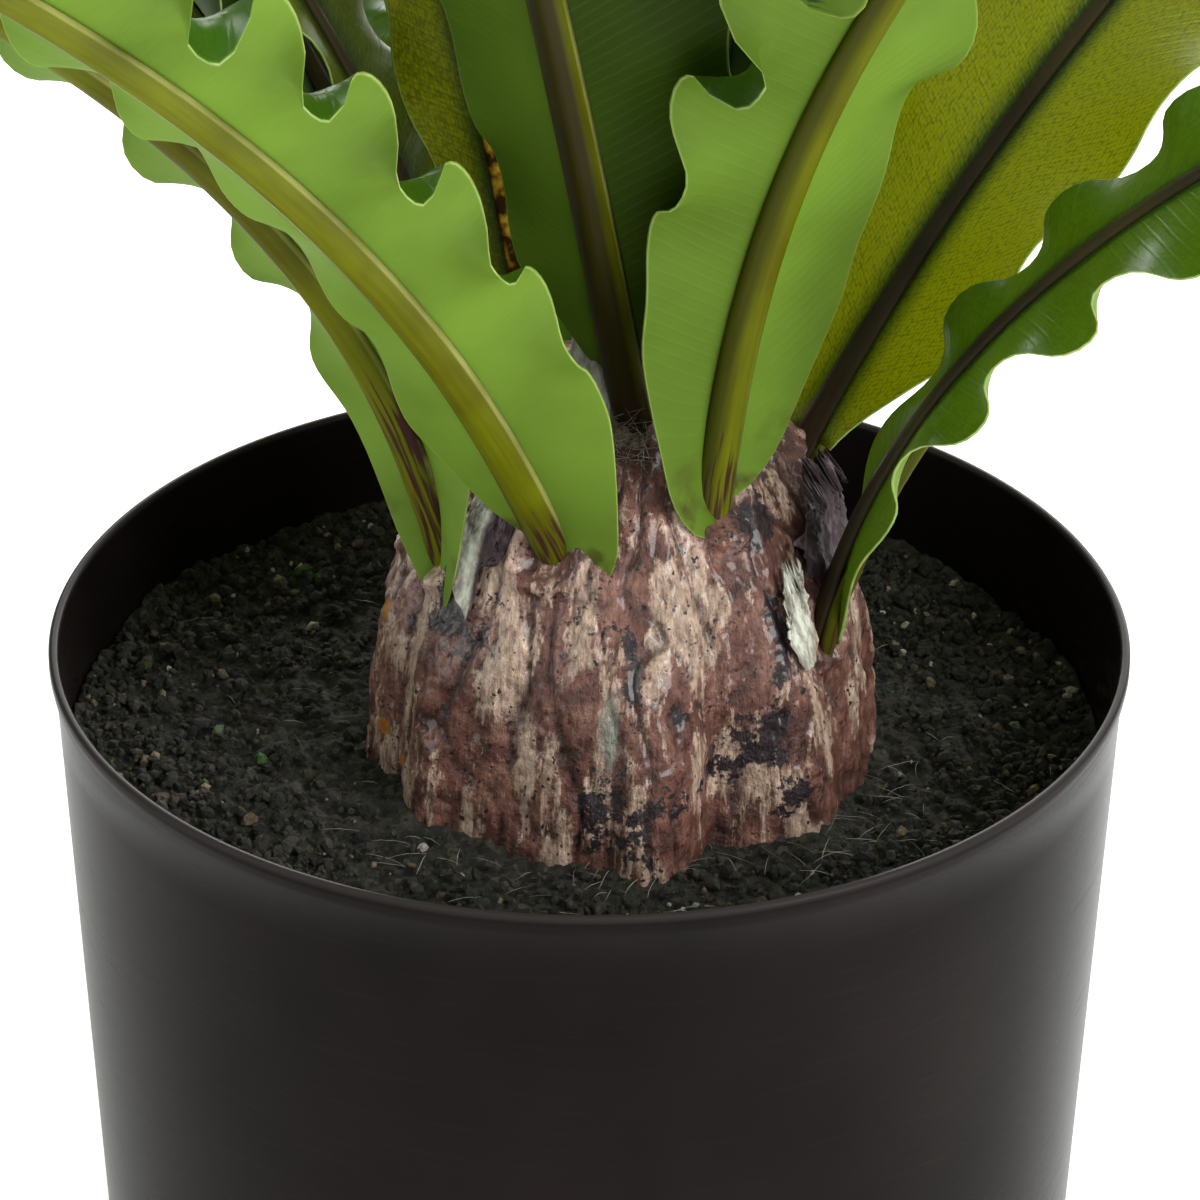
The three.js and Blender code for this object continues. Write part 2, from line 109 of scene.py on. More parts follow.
# Fronds, in millimetres and degrees. foot: direction round the rootstock and height from the rim. heading:
# direction of lean. stand: lean at the foot, bend: more lean gained low down, droop: more lean gained toward
# the tip. fold: rise of the two halves. roll: turn about the rib. neck: share of the width just above the
# foot. halves: share of the half width on the left and right, lobes: share of that kept at the foot. wave:
# height of the waves.
PLAIN_FROND = dict(roll=0, halves=(1, 1), lobes=(0.3, 0.3))
FRONDS = [
    PLAIN_FROND | frond
    for frond in (
        dict(
            foot=(-113, 34), heading=-122, stand=30, bend=25, droop=18, fold=26, roll=16,
            length=480, width=48, neck=0.8, halves=(0.9, 1), lobes=(0.35, 0.6), wave=7.5,
        ),
        dict(
            foot=(-152, 27), heading=-150, stand=13, bend=52, droop=16, fold=12, roll=18,
            length=430, width=76, neck=0.34, lobes=(0.3, 0.22), wave=5,
        ),
        dict(
            foot=(-57, 41), heading=-58, stand=8, bend=50, droop=20, fold=15,
            length=520, width=92, neck=0.42, halves=(0.78, 1), lobes=(0.6, 0.5), wave=6,
        ),
        dict(
            foot=(-84, 52), heading=-110, stand=24, bend=2, droop=25, fold=18, roll=4,
            length=520, width=90, neck=0.34, halves=(0.8, 1), wave=3,
        ),
        dict(
            foot=(-2, 37), heading=32, stand=34, bend=26, droop=20, fold=8, roll=-4,
            length=500, width=116, neck=0.4, wave=3,
        ),
        dict(
            foot=(-30, 13), heading=-20, stand=12, bend=62, droop=10, fold=6, roll=21,
            length=440, width=62, neck=0.3, halves=(1, 0.7), lobes=(0.25, 0.3), wave=4.5,
        ),
        dict(
            foot=(132, 46), heading=126, stand=20, bend=14, droop=28, fold=14, roll=8,
            length=520, width=84, neck=0.26, wave=3.5,
        ),
        dict(
            foot=(156, 41), heading=146, stand=18, bend=50, droop=20, fold=10, roll=20,
            length=500, width=80, neck=0.26, wave=5,
        ),
        dict(
            foot=(165, 34), heading=166, stand=18, bend=42, droop=20, fold=10, roll=18,
            length=480, width=74, neck=0.2, wave=6,
        ),
        dict(
            foot=(-178, 26), heading=-172, stand=12, bend=44, droop=16, fold=6, roll=22,
            length=430, width=70, neck=0.14, wave=6,
        ),
        dict(foot=(-14, 47), heading=0, stand=10, bend=12, droop=30, fold=20, length=480, width=80, neck=0.3,
             wave=6),
        dict(foot=(60, 24), heading=62, stand=22, bend=36, droop=20, fold=14, length=460, width=66, neck=0.24,
             wave=7),
        dict(foot=(98, 22), heading=98, stand=24, bend=36, droop=20, fold=14, length=460, width=80, neck=0.28,
             wave=7),
        dict(
            foot=(138, 20), heading=128, stand=28, bend=38, droop=18, fold=14,
            length=450, width=78, neck=0.28, wave=7,
        ),
        dict(foot=(76, 44), heading=72, stand=16, bend=22, droop=24, fold=16, length=500, width=82, neck=0.3,
             wave=6),
        dict(foot=(40, 51), heading=40, stand=6, bend=8, droop=20, fold=22, length=420, width=64, neck=0.3,
             wave=6),
    )
]

# How single fronds differ. deep: painted shade, how much darker the left and right halves are painted where
# they stand in shade. olive: yellow-olive print that glows in light from behind. brown: dark brown rib,
# spotted: brown and yellow spots on the rib, stain: length of its purple-brown foot. drop: how far the left
# and right lobes hang below the foot, curl: how far the troughs of the left and right waves roll outward.
# waves: number of waves along a margin, calm: share of the length next to the foot that stays without
# waves, sway: height of the waves on the left and right, grow: how much higher they are toward the tip.
LOOKS = {
    1: dict(drop=(2, 14), curl=(0, 78), waves=14.5, sway=(0.5, 0.55), grow=2.2),
    2: dict(stain=26, drop=(12, 21)),
    3: dict(deep=(0.4, 0), drop=(11, 5), curl=(130, 0), calm=0.06, sway=(1.35, 0.9), grow=0.6),
    4: dict(deep=(0.4, 1), brown=0.9),
    5: dict(olive=1.0, brown=1.0, stain=6),
    6: dict(olive=0.1, drop=(8, 12)),
    7: dict(olive=1.0, spotted=1.0),
    8: dict(olive=0.7, brown=0.8),
    9: dict(deep=(0.5, 0.5)),
    11: dict(deep=(0.8, 0.8), brown=0.8),
    15: dict(olive=0.6),
    16: dict(deep=(0.8, 0.8)),
}
PLAIN_LOOK = dict(
    deep=(0, 0), olive=0.0, brown=0.0, spotted=0.0, stain=2,
    drop=(0, 0), curl=(0, 0), waves=15, calm=0, sway=(1, 1), grow=0,
)
BLADE_START = 3  # bare stalk between the rootstock and the blade
PLUG_LENGTH = 12  # stalk inside the rootstock
BLADE_ROWS, HALF_COLUMNS = 220, 13
VEIN_SPACING = 2.6
DOT_SPACING = 0.95

# Dried scales, the last of them a loose sliver: direction, height of the lower edge, spread in degrees,
# length, flare
SCALES = [(-14, 13, 20, 26, 2.2), (-43, 9, 5.5, 19, 1.2), (-132, 18, 9, 24, 1), (-123, 36, 6, 4, 2.5)]

# Rings and sides of the soil and the rootstock, and the numbers of hairs on them
SOIL_RINGS, ROOT_LEVELS, SIDES = 60, 156, 480
SOIL_HAIRS, CROWN_HAIRS = 110, 420

# Camera
CAMERA_PLACE = (0.0019, -0.7272, 0.5920)
CAMERA_TILT = 29.24
CAMERA_ROLL = 0.32
CAMERA_LENS = 135


def linear(code):
    """An sRGB hex colour as linear red, green, blue and alpha."""
    parts = [int(code[i : i + 2], 16) / 255 for i in (1, 3, 5)]
    return tuple(p / 12.92 if p <= 0.04045 else ((p + 0.055) / 1.055) ** 2.4 for p in parts) + (1.0,)


def colour_property(name, description, code):
    return bpy.props.FloatVectorProperty(
        name=name, description=description, subtype="COLOR", size=4, min=0, max=1, default=linear(code)
    )


def length_property(name, description, default):
    return bpy.props.FloatProperty(
        name=name, description=description, default=default, min=0, precision=4, unit="LENGTH"
    )


class FernSizes(bpy.types.PropertyGroup):
    blade_thickness: length_property("Blade thickness", "Thickness of a frond's blade", 0.00045)
    wave_height: bpy.props.FloatProperty(
        name="Wave height",
        description="Height of the waves of the margins, as a share of the modelled height",
        default=1.0, min=0, subtype="FACTOR",
    )
    rib_width: length_property("Rib width", "Width of a midrib at the foot of the frond", 0.0076)
    rib_depth: length_property("Rib depth", "Depth of a midrib under the blade", 0.0038)
    ridge_height: length_property(
        "Ridge height", "Height of the narrow ridge on a blade's upper side", 0.0016
    )
    bark_relief: length_property("Rootstock relief", "Depth of the flutes on the rootstock", 0.0011)
    crumb_size: length_property("Crumb size", "Radius of a common soil crumb", 0.0006)
    crumb_count: bpy.props.IntProperty(
        name="Crumbs", description="Number of loose soil crumbs", default=9000, min=0
    )


class FernColours(bpy.types.PropertyGroup):
    under: colour_property("Underside", "Light matte underside of the blades", "#729231")
    upper: colour_property("Upper side", "Dark green upper side of the blades", "#28520f")
    rib: colour_property("Midrib", "Olive of the midribs", "#585c03")
    ridge: colour_property("Upper ridge", "Dark ridge on the upper side of the blades", "#2a241c")
    root_wash: colour_property("Rootstock wash", "Red-brown wash on the rootstock", "#70463a")
    root_base: colour_property("Rootstock base", "Beige paint that shows through the wash", "#b69c86")
    root_dark: colour_property("Rootstock dark", "Near-black paint in the hollows", "#271b1e")
    soil: colour_property("Soil", "Charcoal of the potting mix", "#2b2a24")
    pot: colour_property("Pot", "Brownish black of the pot", "#191413")
    scale: colour_property("Dried scale", "Grey of the papery scales", "#9c978a")


# Shapes


def smooth(x):
    t = np.clip(x, 0, 1)
    return t * t * (3 - 2 * t)


def patches(table, direction, height):
    """How strongly a table of soft-edged patches covers each place."""
    cover = np.zeros_like(direction)
    for centre, level, wide, tall in table:
        across = ((direction - centre + 180) % 360 - 180) / wide
        cover = np.maximum(cover, np.exp(-(across**2) - ((height - level) / tall) ** 2))
    return cover


def root_radius(direction, height):
    round_part = np.interp(height, ROOT_HEIGHTS, ROOT_RADII)
    low = 1 - 0.85 * smooth((height + 16) / 46)
    lobes = sum(
        swell * np.exp(-((((direction - centre + 180) % 360 - 180) / width) ** 2))
        for centre, swell, width in FOOT_LOBES
    )
    angle = np.radians(direction)
    ridges = 0.7 * np.cos(15 * angle + 0.03 * height) + 0.5 * np.cos(9 * angle + 1.3)
    return (
        round_part + lobes * low + ridges * np.minimum(1, round_part / 40) * (1 - smooth((height - 36) / 14))
    )


def root_point(direction, height, out=0.0):
    direction, height = np.broadcast_arrays(np.asarray(direction, float), np.asarray(height, float))
    reach = root_radius(direction, height) + out
    angle = np.radians(direction)
    return np.stack([ROOT_AXIS_X + reach * np.cos(angle), reach * np.sin(angle), POT_HEIGHT + height], -1)


def soil_height(x, y):
    lumps = np.sin(0.11 * x + 0.4) * np.cos(0.09 * y) + 0.5 * np.sin(0.05 * x - 0.13 * y)
    return POT_HEIGHT - SOIL_DEPTH - SOIL_SLOPE * x + 0.9 * lumps


def pot_inner_radius(z):
    return WALL_BASE_RADIUS - WALL_THICKNESS + (WALL_TOP_RADIUS - WALL_BASE_RADIUS) / (POT_HEIGHT - 5) * z


def wall_point(direction, radius):
    """Where a line from the rootstock's axis meets the inside of the pot."""
    angle = np.radians(direction)
    across = ROOT_AXIS_X * np.sin(angle)
    reach = np.sqrt(radius**2 - across**2) - ROOT_AXIS_X * np.cos(angle)
    return np.stack([ROOT_AXIS_X + reach * np.cos(angle), reach * np.sin(angle)], -1)


def field(points, size, detail=1, offset=0.0):
    """Smooth noise at each point, from -1 to 1; size is the width of its lumps in millimetres."""
    turn = Vector((offset, offset * 0.7, -offset))
    if detail == 1:
        return np.array([noise.noise(Vector(p) / size + turn) for p in points.tolist()])
    return np.array([noise.fractal(Vector(p) / size + turn, 1.0, 2.0, detail) for p in points.tolist()])


def frond_frames(frond, t):
    """Places along a rib at shares t of its length, and the directions across, toward the axis and along it."""
    heading, turn, length = math.radians(frond["heading"]), math.radians(frond["roll"]), frond["length"]

    def outward(s):
        lean = np.radians(frond["stand"] + frond["bend"] * (1 - (1 - s) ** 3) + frond["droop"] * s * s)
        flat = np.sin(lean)
        return np.stack([flat * math.cos(heading), flat * math.sin(heading), np.cos(lean)], -1)

    steps = 240
    each = outward((np.arange(steps) + 0.5) / steps) * length / steps
    places = np.vstack([np.zeros(3), np.cumsum(each, 0)]) + root_point(*frond["foot"])
    t = np.asarray(t, float)
    inside = np.clip(t, 0, 1)
    out = outward(inside)
    place = np.stack([np.interp(inside * steps, np.arange(steps + 1), places[:, k]) for k in range(3)], -1)
    place += out * (np.minimum(t, 0) * length)[:, None]
    level = np.array([-math.sin(heading), math.cos(heading), 0.0]) + np.zeros_like(out)
    inward = np.cross(out, level)
    side = level * math.cos(turn) + inward * math.sin(turn)
    face = inward * math.cos(turn) - level * math.sin(turn)
    return place, side, face, out


def half_width(frond, t, side):
    """Half width of a blade on its left (side 0) or right (side 1)."""
    lobe, neck = frond["lobes"][side], frond["neck"]
    base = lobe + (1 - lobe) * smooth(t / 0.07)
    body = neck + (1 - neck) * np.sin(math.pi / 2 * np.clip(t / 0.6, 0, 1))
    tip = np.sqrt(1 - np.clip((t - 0.6) / 0.4, 0, 1) ** 2.4)
    return np.maximum(1.6, frond["width"] / 2 * frond["halves"][side] * base * body * tip)


def fold_at(frond, t):
    return np.radians(frond["fold"] * (0.2 + 0.8 * smooth(t / 0.14)) * (1 - 0.6 * t))


def look(number):
    return {**PLAIN_LOOK, **LOOKS.get(number, {})}


def rib_slimness(t):
    return 0.24 + 0.76 * (1 - np.clip(t, 0, 1)) ** 0.8


# Meshes


def make_mesh(name, points, faces, skins=None, **layers):
    """A smooth mesh from points in millimetres. layers are numbers or vectors kept at each point."""
    mesh = bpy.data.meshes.new(name)
    mesh.from_pydata((np.asarray(points, float) * MM).tolist(), [], [list(f) for f in faces])
    mesh.polygons.foreach_set("use_smooth", [True] * len(mesh.polygons))
    if skins is not None:
        mesh.polygons.foreach_set("material_index", list(skins))
    for key, values in layers.items():
        values = np.asarray(values, float)
        layer = mesh.attributes.new(key, "FLOAT_VECTOR" if values.ndim == 2 else "FLOAT", "POINT")
        layer.data.foreach_set("vector" if values.ndim == 2 else "value", values.ravel())
    mesh.update()
    return mesh


def sheet_faces(rows, columns):
    """Faces of a closed sheet between two grids, with 0, 1 or 2 for its lower side, upper side and edge."""
    shift = rows * columns
    index = np.arange(shift).reshape(rows, columns)
    a, b, c, d = index[:-1, :-1], index[:-1, 1:], index[1:, 1:], index[1:, :-1]
    lower = np.stack([a, b, c, d], -1).reshape(-1, 4)
    upper = np.stack([a, d, c, b], -1).reshape(-1, 4) + shift
    rim = np.concatenate([index[0, :-1], index[:-1, -1], index[-1, :0:-1], index[:0:-1, 0]])
    after = np.roll(rim, -1)
    edge = np.stack([rim, rim + shift, after + shift, after], -1)
    skins = np.concatenate([np.zeros(len(lower)), np.ones(len(upper)), np.full(len(edge), 2)]).astype(int)
    return np.concatenate([lower, upper, edge]).tolist(), skins.tolist()


def ring_faces(rings, count, first=0):
    """Faces of a closed surface through rings of points, after one start point and before one end point."""
    index = first + 1 + np.arange(rings * count).reshape(rings, count)
    turned = np.roll(index, -1, 1)
    walls = np.stack([index[:-1], turned[:-1], turned[1:], index[1:]], -1).reshape(-1, 4).tolist()
    last = first + 1 + rings * count
    start = [[first, int(b), int(a)] for a, b in zip(index[0], turned[0])]
    end = [[last, int(a), int(b)] for a, b in zip(index[-1], turned[-1])]
    return start + walls + end


def lathe(profile, sides):
    """Points of a turned surface whose profile starts and ends on the axis."""
    angle = np.arange(sides) * 2 * math.pi / sides
    rings = [
        np.stack([r * np.cos(angle), r * np.sin(angle), np.full(sides, z)], -1) for r, z in profile[1:-1]
    ]
    start, end = [[0, 0, profile[0][1]]], [[0, 0, profile[-1][1]]]
    return np.vstack([start, *rings, end]), ring_faces(len(rings), sides)


def strands(name, paths, radius):
    """A mesh of thin three-sided fibres along paths, tapered at both ends."""
    points, faces, first = [], [], 0
    for path in paths:
        path = np.asarray(path, float)
        along = np.gradient(path, axis=0)
        along /= np.linalg.norm(along, axis=1)[:, None]
        aside = np.cross(along, [0.31, 0.2, 0.93])
        aside /= np.linalg.norm(aside, axis=1)[:, None] + 1e-9
        above = np.cross(along, aside)
        taper = radius * np.sin(np.linspace(0.35, math.pi - 0.35, len(path)))[:, None]
        rings = [path + taper * (aside * math.cos(a) + above * math.sin(a)) for a in (0, 2.094, 4.189)]
        points.append(np.vstack([path[:1], np.stack(rings, 1).reshape(-1, 3), path[-1:]]))
        faces += ring_faces(len(path), 3, first)
        first += len(points[-1])
    return make_mesh(name, np.vstack(points), faces)


def unevenness(chance, share, strength, turns):
    """Slow waves along a margin that keep its ruffles from being alike."""
    return sum(
        chance.uniform(*strength) * np.sin(share * f * 2 * math.pi + chance.uniform(0, 6.3)) for f in turns
    )


def put(mesh, materials, replaced=()):
    """Adds a mesh as a piece that stands with the plant, in place of the plain solids that it details."""
    made = bpy.data.objects.new(mesh.name, mesh)
    bpy.context.scene.collection.objects.link(made)
    for material in materials:
        mesh.materials.append(material)
    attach(made, "root")
    if replaced:
        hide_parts(*replaced)
    return made


# Materials


# What a bare setting stands for, which inputs a tuple fills and which output is handed back
MAIN_SETTING = {
    "Attribute": "attribute_name", "MapRange": "interpolation_type", "Math": "operation",
    "Mix": "blend_type", "ValToRGB": "stops",
}
INPUT_ORDER = {
    "Bump": ("Height", "Strength", "Distance", "Normal"),
    "Mapping": ("Vector", "Scale"),
    "Mix": (0, 6, 7),
    "TexNoise": ("Vector", "Scale", "Detail", "Roughness", "Distortion"),
    "TexVoronoi": ("Vector", "Scale", "Randomness"),
}
USUAL_OUTPUT = {"Mix": 2, "TexCoord": "Object", "SeparateXYZ": slice(None), "OutputMaterial": slice(None)}


def node(tree, kind, settings=None, inputs=(), wanted=None):
    """Adds one node with its settings and its inputs, which are values, hex colours or other nodes' outputs.

    A setting on its own is the node's main one. The output that is wanted is handed back.
    """
    made = tree.nodes.new("ShaderNode" + kind)
    if kind == "Mix":
        made.data_type = "RGBA"
    if settings is not None and not isinstance(settings, dict):
        settings = {MAIN_SETTING[kind]: settings}
    for key, value in (settings or {}).items():
        if key != "stops":
            setattr(made, key, value)
            continue
        stops = made.color_ramp.elements
        stops.remove(stops[1])
        stops[0].position = value[0][0]
        for place, colour in value:
            stop = stops[0] if place == value[0][0] else stops.new(place)
            stop.color = linear(colour) if isinstance(colour, str) else colour
    if not isinstance(inputs, (dict, tuple)):
        inputs = (inputs,)
    if isinstance(inputs, tuple):
        inputs = dict(zip(INPUT_ORDER.get(kind, range(len(inputs))), inputs))
    for socket, value in inputs.items():
        if isinstance(value, bpy.types.NodeSocket):
            tree.links.new(value, made.inputs[socket])
        else:
            made.inputs[socket].default_value = linear(value) if isinstance(value, str) else value
    return made.outputs[USUAL_OUTPUT.get(kind, 0) if wanted is None else wanted]


def new_material(name):
    """An empty material, and the node function tied to it."""
    material = bpy.data.materials.new(name)
    material.use_nodes = True
    material.node_tree.nodes.clear()
    return material, partial(node, material.node_tree)


def per_mm(size):
    """Texture scale for lumps of this width in millimetres."""
    return 1000 / size


def grey(value):
    return (value, value, value, 1.0)


BLACK, WHITE = grey(0.0), grey(1.0)


def leaf_material(name, colour, upper):
    """Soft polyethylene leaf, printed and pressed.

    The underside is matte and pale, with faint side veins. The upper side has a satin gloss and fine mottle.
    Both let light through, so a frond lit from behind glows yellow-green.
    """
    material, add = new_material(name)
    place = add("TexCoord")
    leaf = add("Attribute", "leaf", wanted="Vector")
    parts = add("SeparateXYZ", inputs=leaf)
    look_parts = add("SeparateXYZ", inputs=add("Attribute", "look", wanted="Vector"))
    deep, olive = look_parts[0], look_parts[1]
    # side veins run outward and toward the tip
    wander = add("TexNoise", inputs=(place, per_mm(22), 2.0))
    across = add("Math", "MULTIPLY", (parts[1], -0.55))
    along = add("Math", "ADD", (parts[0], across))
    drift = add("Math", "MULTIPLY_ADD", (wander, 0.0022, along))
    phase = add("Math", "MULTIPLY", (drift, 2 * math.pi / (VEIN_SPACING * MM)))
    wave = add("Math", "SINE", phase)
    vein = add("MapRange", "SMOOTHSTEP", (wave, 0.45, 1.0))
    broad = add("TexNoise", inputs=(place, per_mm(30), 3.0))
    mottle = add("TexNoise", inputs=(place, per_mm(0.75), 2.0, 0.6))
    dark = tuple(c * 0.78 for c in colour[:3]) + (1.0,)
    light = tuple(min(1, c * 1.18) for c in colour[:3]) + (1.0,)
    tone = add("ValToRGB", [(0.3, dark), (0.52, colour), (0.75, light)], broad)
    glow = linear("#9fb51c") if upper else linear("#a5c41e")
    if upper:
        # the mottle lies in rows of dots beside the side veins
        rows = add("CombineXYZ", inputs=(drift, parts[1], look_parts[2]))
        dots = add("TexVoronoi", inputs=(rows, per_mm(DOT_SPACING), 0.5))
        tone = add("Mix", inputs=(olive, tone, "#5d6504"))
        glow = add("Mix", inputs=(olive, glow, "#ffe600"))
        speck = add("Math", "MULTIPLY_ADD", (mottle, -0.7, dots))
        speck = add("ValToRGB", [(0.0, grey(1.35)), (0.4, grey(0.7))], speck)
        # the olive print is dark green beside the rib
        beside = add("MapRange", inputs=(parts[1], 0.008, 0.003))
        beside = add("Math", "MULTIPLY", (beside, olive))
        tone = add("Mix", inputs=(beside, tone, "#1d2a06"))
        glow = add("Mix", inputs=(beside, glow, "#8f9a10"))
        dotted = add("Math", "MULTIPLY_ADD", (olive, 0.65, 0.2))
        tone = add("Mix", "MULTIPLY", (dotted, tone, speck))
        glow = add("Mix", "MULTIPLY", (dotted, glow, speck))
    # painted shade: by the deep value, fronds and halves that stand in shade are painted darker, and so is the
    # light they let through
    shaded = linear("#7f8810")
    tone = add("Mix", "MULTIPLY", (deep, tone, shaded))
    glow = add("Mix", "MULTIPLY", (deep, glow, shaded))
    veined = add("Math", "MULTIPLY", (vein, 0.09 if upper else 0.06))
    tone = add("Mix", inputs=(veined, tone, light))
    # a thin worn line at the very margin, and brown spots low on the blade
    margin = add("MapRange", inputs=(parts[2], 0.985, 0.997))
    tone = add("Mix", inputs=(margin, tone, "#66802c" if upper else "#90aa4c"))
    low = add("MapRange", inputs=(parts[0], 0.018, 0.006))
    outer = add("MapRange", inputs=(parts[2], 0.4, 0.85))
    low = add("Math", "MULTIPLY", (low, outer))
    blotch = add("TexNoise", inputs=(place, per_mm(7), 4.0))
    spots = add("MapRange", inputs=(blotch, 0.52, 0.64))
    stain = add("Math", "MULTIPLY", (low, spots))
    tone = add("Mix", inputs=(stain, tone, "#4a3a1c"))
    vein_bump = add("Bump", inputs=(vein, 0.35 if upper else 0.25, 0.12 * MM))
    grain = add("Bump", inputs=(mottle, 0.2 if upper else 0.1, 0.1 * MM, vein_bump))
    gloss = add("MapRange",
                inputs={"Value": broad, "To Min": 0.24 if upper else 0.5, "To Max": 0.4 if upper else 0.62})
    skin = add(
        "BsdfPrincipled",
        inputs={
            "Base Color": tone,
            "Roughness": gloss,
            "IOR": 1.5,
            "Specular IOR Level": 0.8 if upper else 0.14,
            "Normal": grain,
        },
    )
    through = add("BsdfTranslucent", inputs=glow)
    both = add("MixShader", inputs=(0.45 if upper else 0.3, skin, through))
    add("OutputMaterial", inputs=both)
    return material


def leaf_edge_material():
    """Cut edge of the pressed polyethylene leaf: the pale core shows as a thin light line."""
    material, add = new_material("polyethylene_leaf_cut_edge")
    place = add("TexCoord")
    wear = add("TexNoise", inputs=(place, per_mm(5), 3.0))
    tone = add("ValToRGB", [(0.35, "#6f8f3a"), (0.6, "#93a858"), (0.8, "#80803e")], wear)
    skin = add("BsdfPrincipled", inputs={"Base Color": tone, "Roughness": 0.6, "IOR": 1.5})
    add("OutputMaterial", inputs=skin)
    return material


def rib_material(colours):
    """Moulded polyethylene midrib, hand painted.

    It is satin olive below, nearly black on the upper ridge and purple-brown at the foot.
    """
    material, add = new_material("polyethylene_midrib_moulded_painted")
    place = add("TexCoord")
    parts = add("SeparateXYZ", inputs=add("Attribute", "rib", wanted="Vector"))
    look_parts = add("SeparateXYZ", inputs=add("Attribute", "look", wanted="Vector"))
    brown, spotted, stain = look_parts
    streak_place = add("CombineXYZ", inputs=(parts[1], add("Math", "MULTIPLY", (parts[0], 9.0)), stain))
    # lengthwise brush streaks about 1 mm wide
    streak = add("TexNoise", inputs=(streak_place, 5.0, 4.0))
    blotch = add("TexNoise", inputs=(place, per_mm(26), 2.0))
    core = add("ValToRGB", [(0.3, "#4a4902"), (0.5, colours.rib), (0.72, "#60650a")], blotch)
    # painted shade darkens one flank, and a thin pale line is worn along the other
    left = add("MapRange", "SMOOTHSTEP", (parts[1], -0.2, -0.85))
    tone = add("Mix", inputs=(left, core, "#3f4206"))
    worn = add("MapRange", inputs=(parts[1], 0.93, 0.99))
    worn = add("Math", "MULTIPLY", (worn, streak))
    tone = add("Mix", inputs=(worn, tone, "#b3b070"))
    shade = add("MapRange", inputs=(streak, 0.35, 0.65, 0.86, 1.08))
    shade = add("CombineColor", inputs=(shade, shade, shade))
    tone = add("Mix", "MULTIPLY", (1.0, tone, shade))
    # shaded ribs are dark brown with greenish edges
    edge = add("Math", "ABSOLUTE", parts[1])
    middle = add("MapRange", inputs=(edge, 0.95, 0.6))
    middle = add("Math", "MULTIPLY", (middle, brown))
    tone = add("Mix", inputs=(middle, tone, "#241c06"))
    # brown and yellow ageing spots
    spot = add("TexNoise", inputs=(place, per_mm(3.2), 3.0))
    spots = add("ValToRGB", [(0.42, "#2c1c08"), (0.5, "#7c5a14"), (0.6, "#a8902a")], spot)
    # the ridge on top, then the stained foot
    dark = add("ValToRGB", [(0.3, colours.ridge), (0.7, "#413a20")], blotch)
    tone = add("Mix", inputs=(parts[2], tone, dark))
    tone = add("Mix", inputs=(spotted, tone, spots))
    reach = add("Math", "MULTIPLY_ADD", (streak, 0.08, parts[0]))
    reach = add("Math", "SUBTRACT", (reach, stain))
    foot = add("MapRange", "SMOOTHSTEP", (reach, 0.047, 0.037))
    brushed = add("MapRange", inputs=(streak, 0.53, 0.45))
    foot = add("Math", "MULTIPLY", (foot, brushed))
    tone = add("Mix", inputs=(foot, tone, "#3a211c"))
    bump = add("Bump", inputs=(streak, 0.3, 0.3 * MM))
    gloss = add("MapRange", inputs={"Value": streak, "To Min": 0.36, "To Max": 0.5})
    skin = add(
        "BsdfPrincipled",
        inputs={
            "Base Color": tone, "Roughness": gloss, "IOR": 1.5, "Specular IOR Level": 0.1, "Normal": bump
        },
    )
    add("OutputMaterial", inputs=skin)
    return material


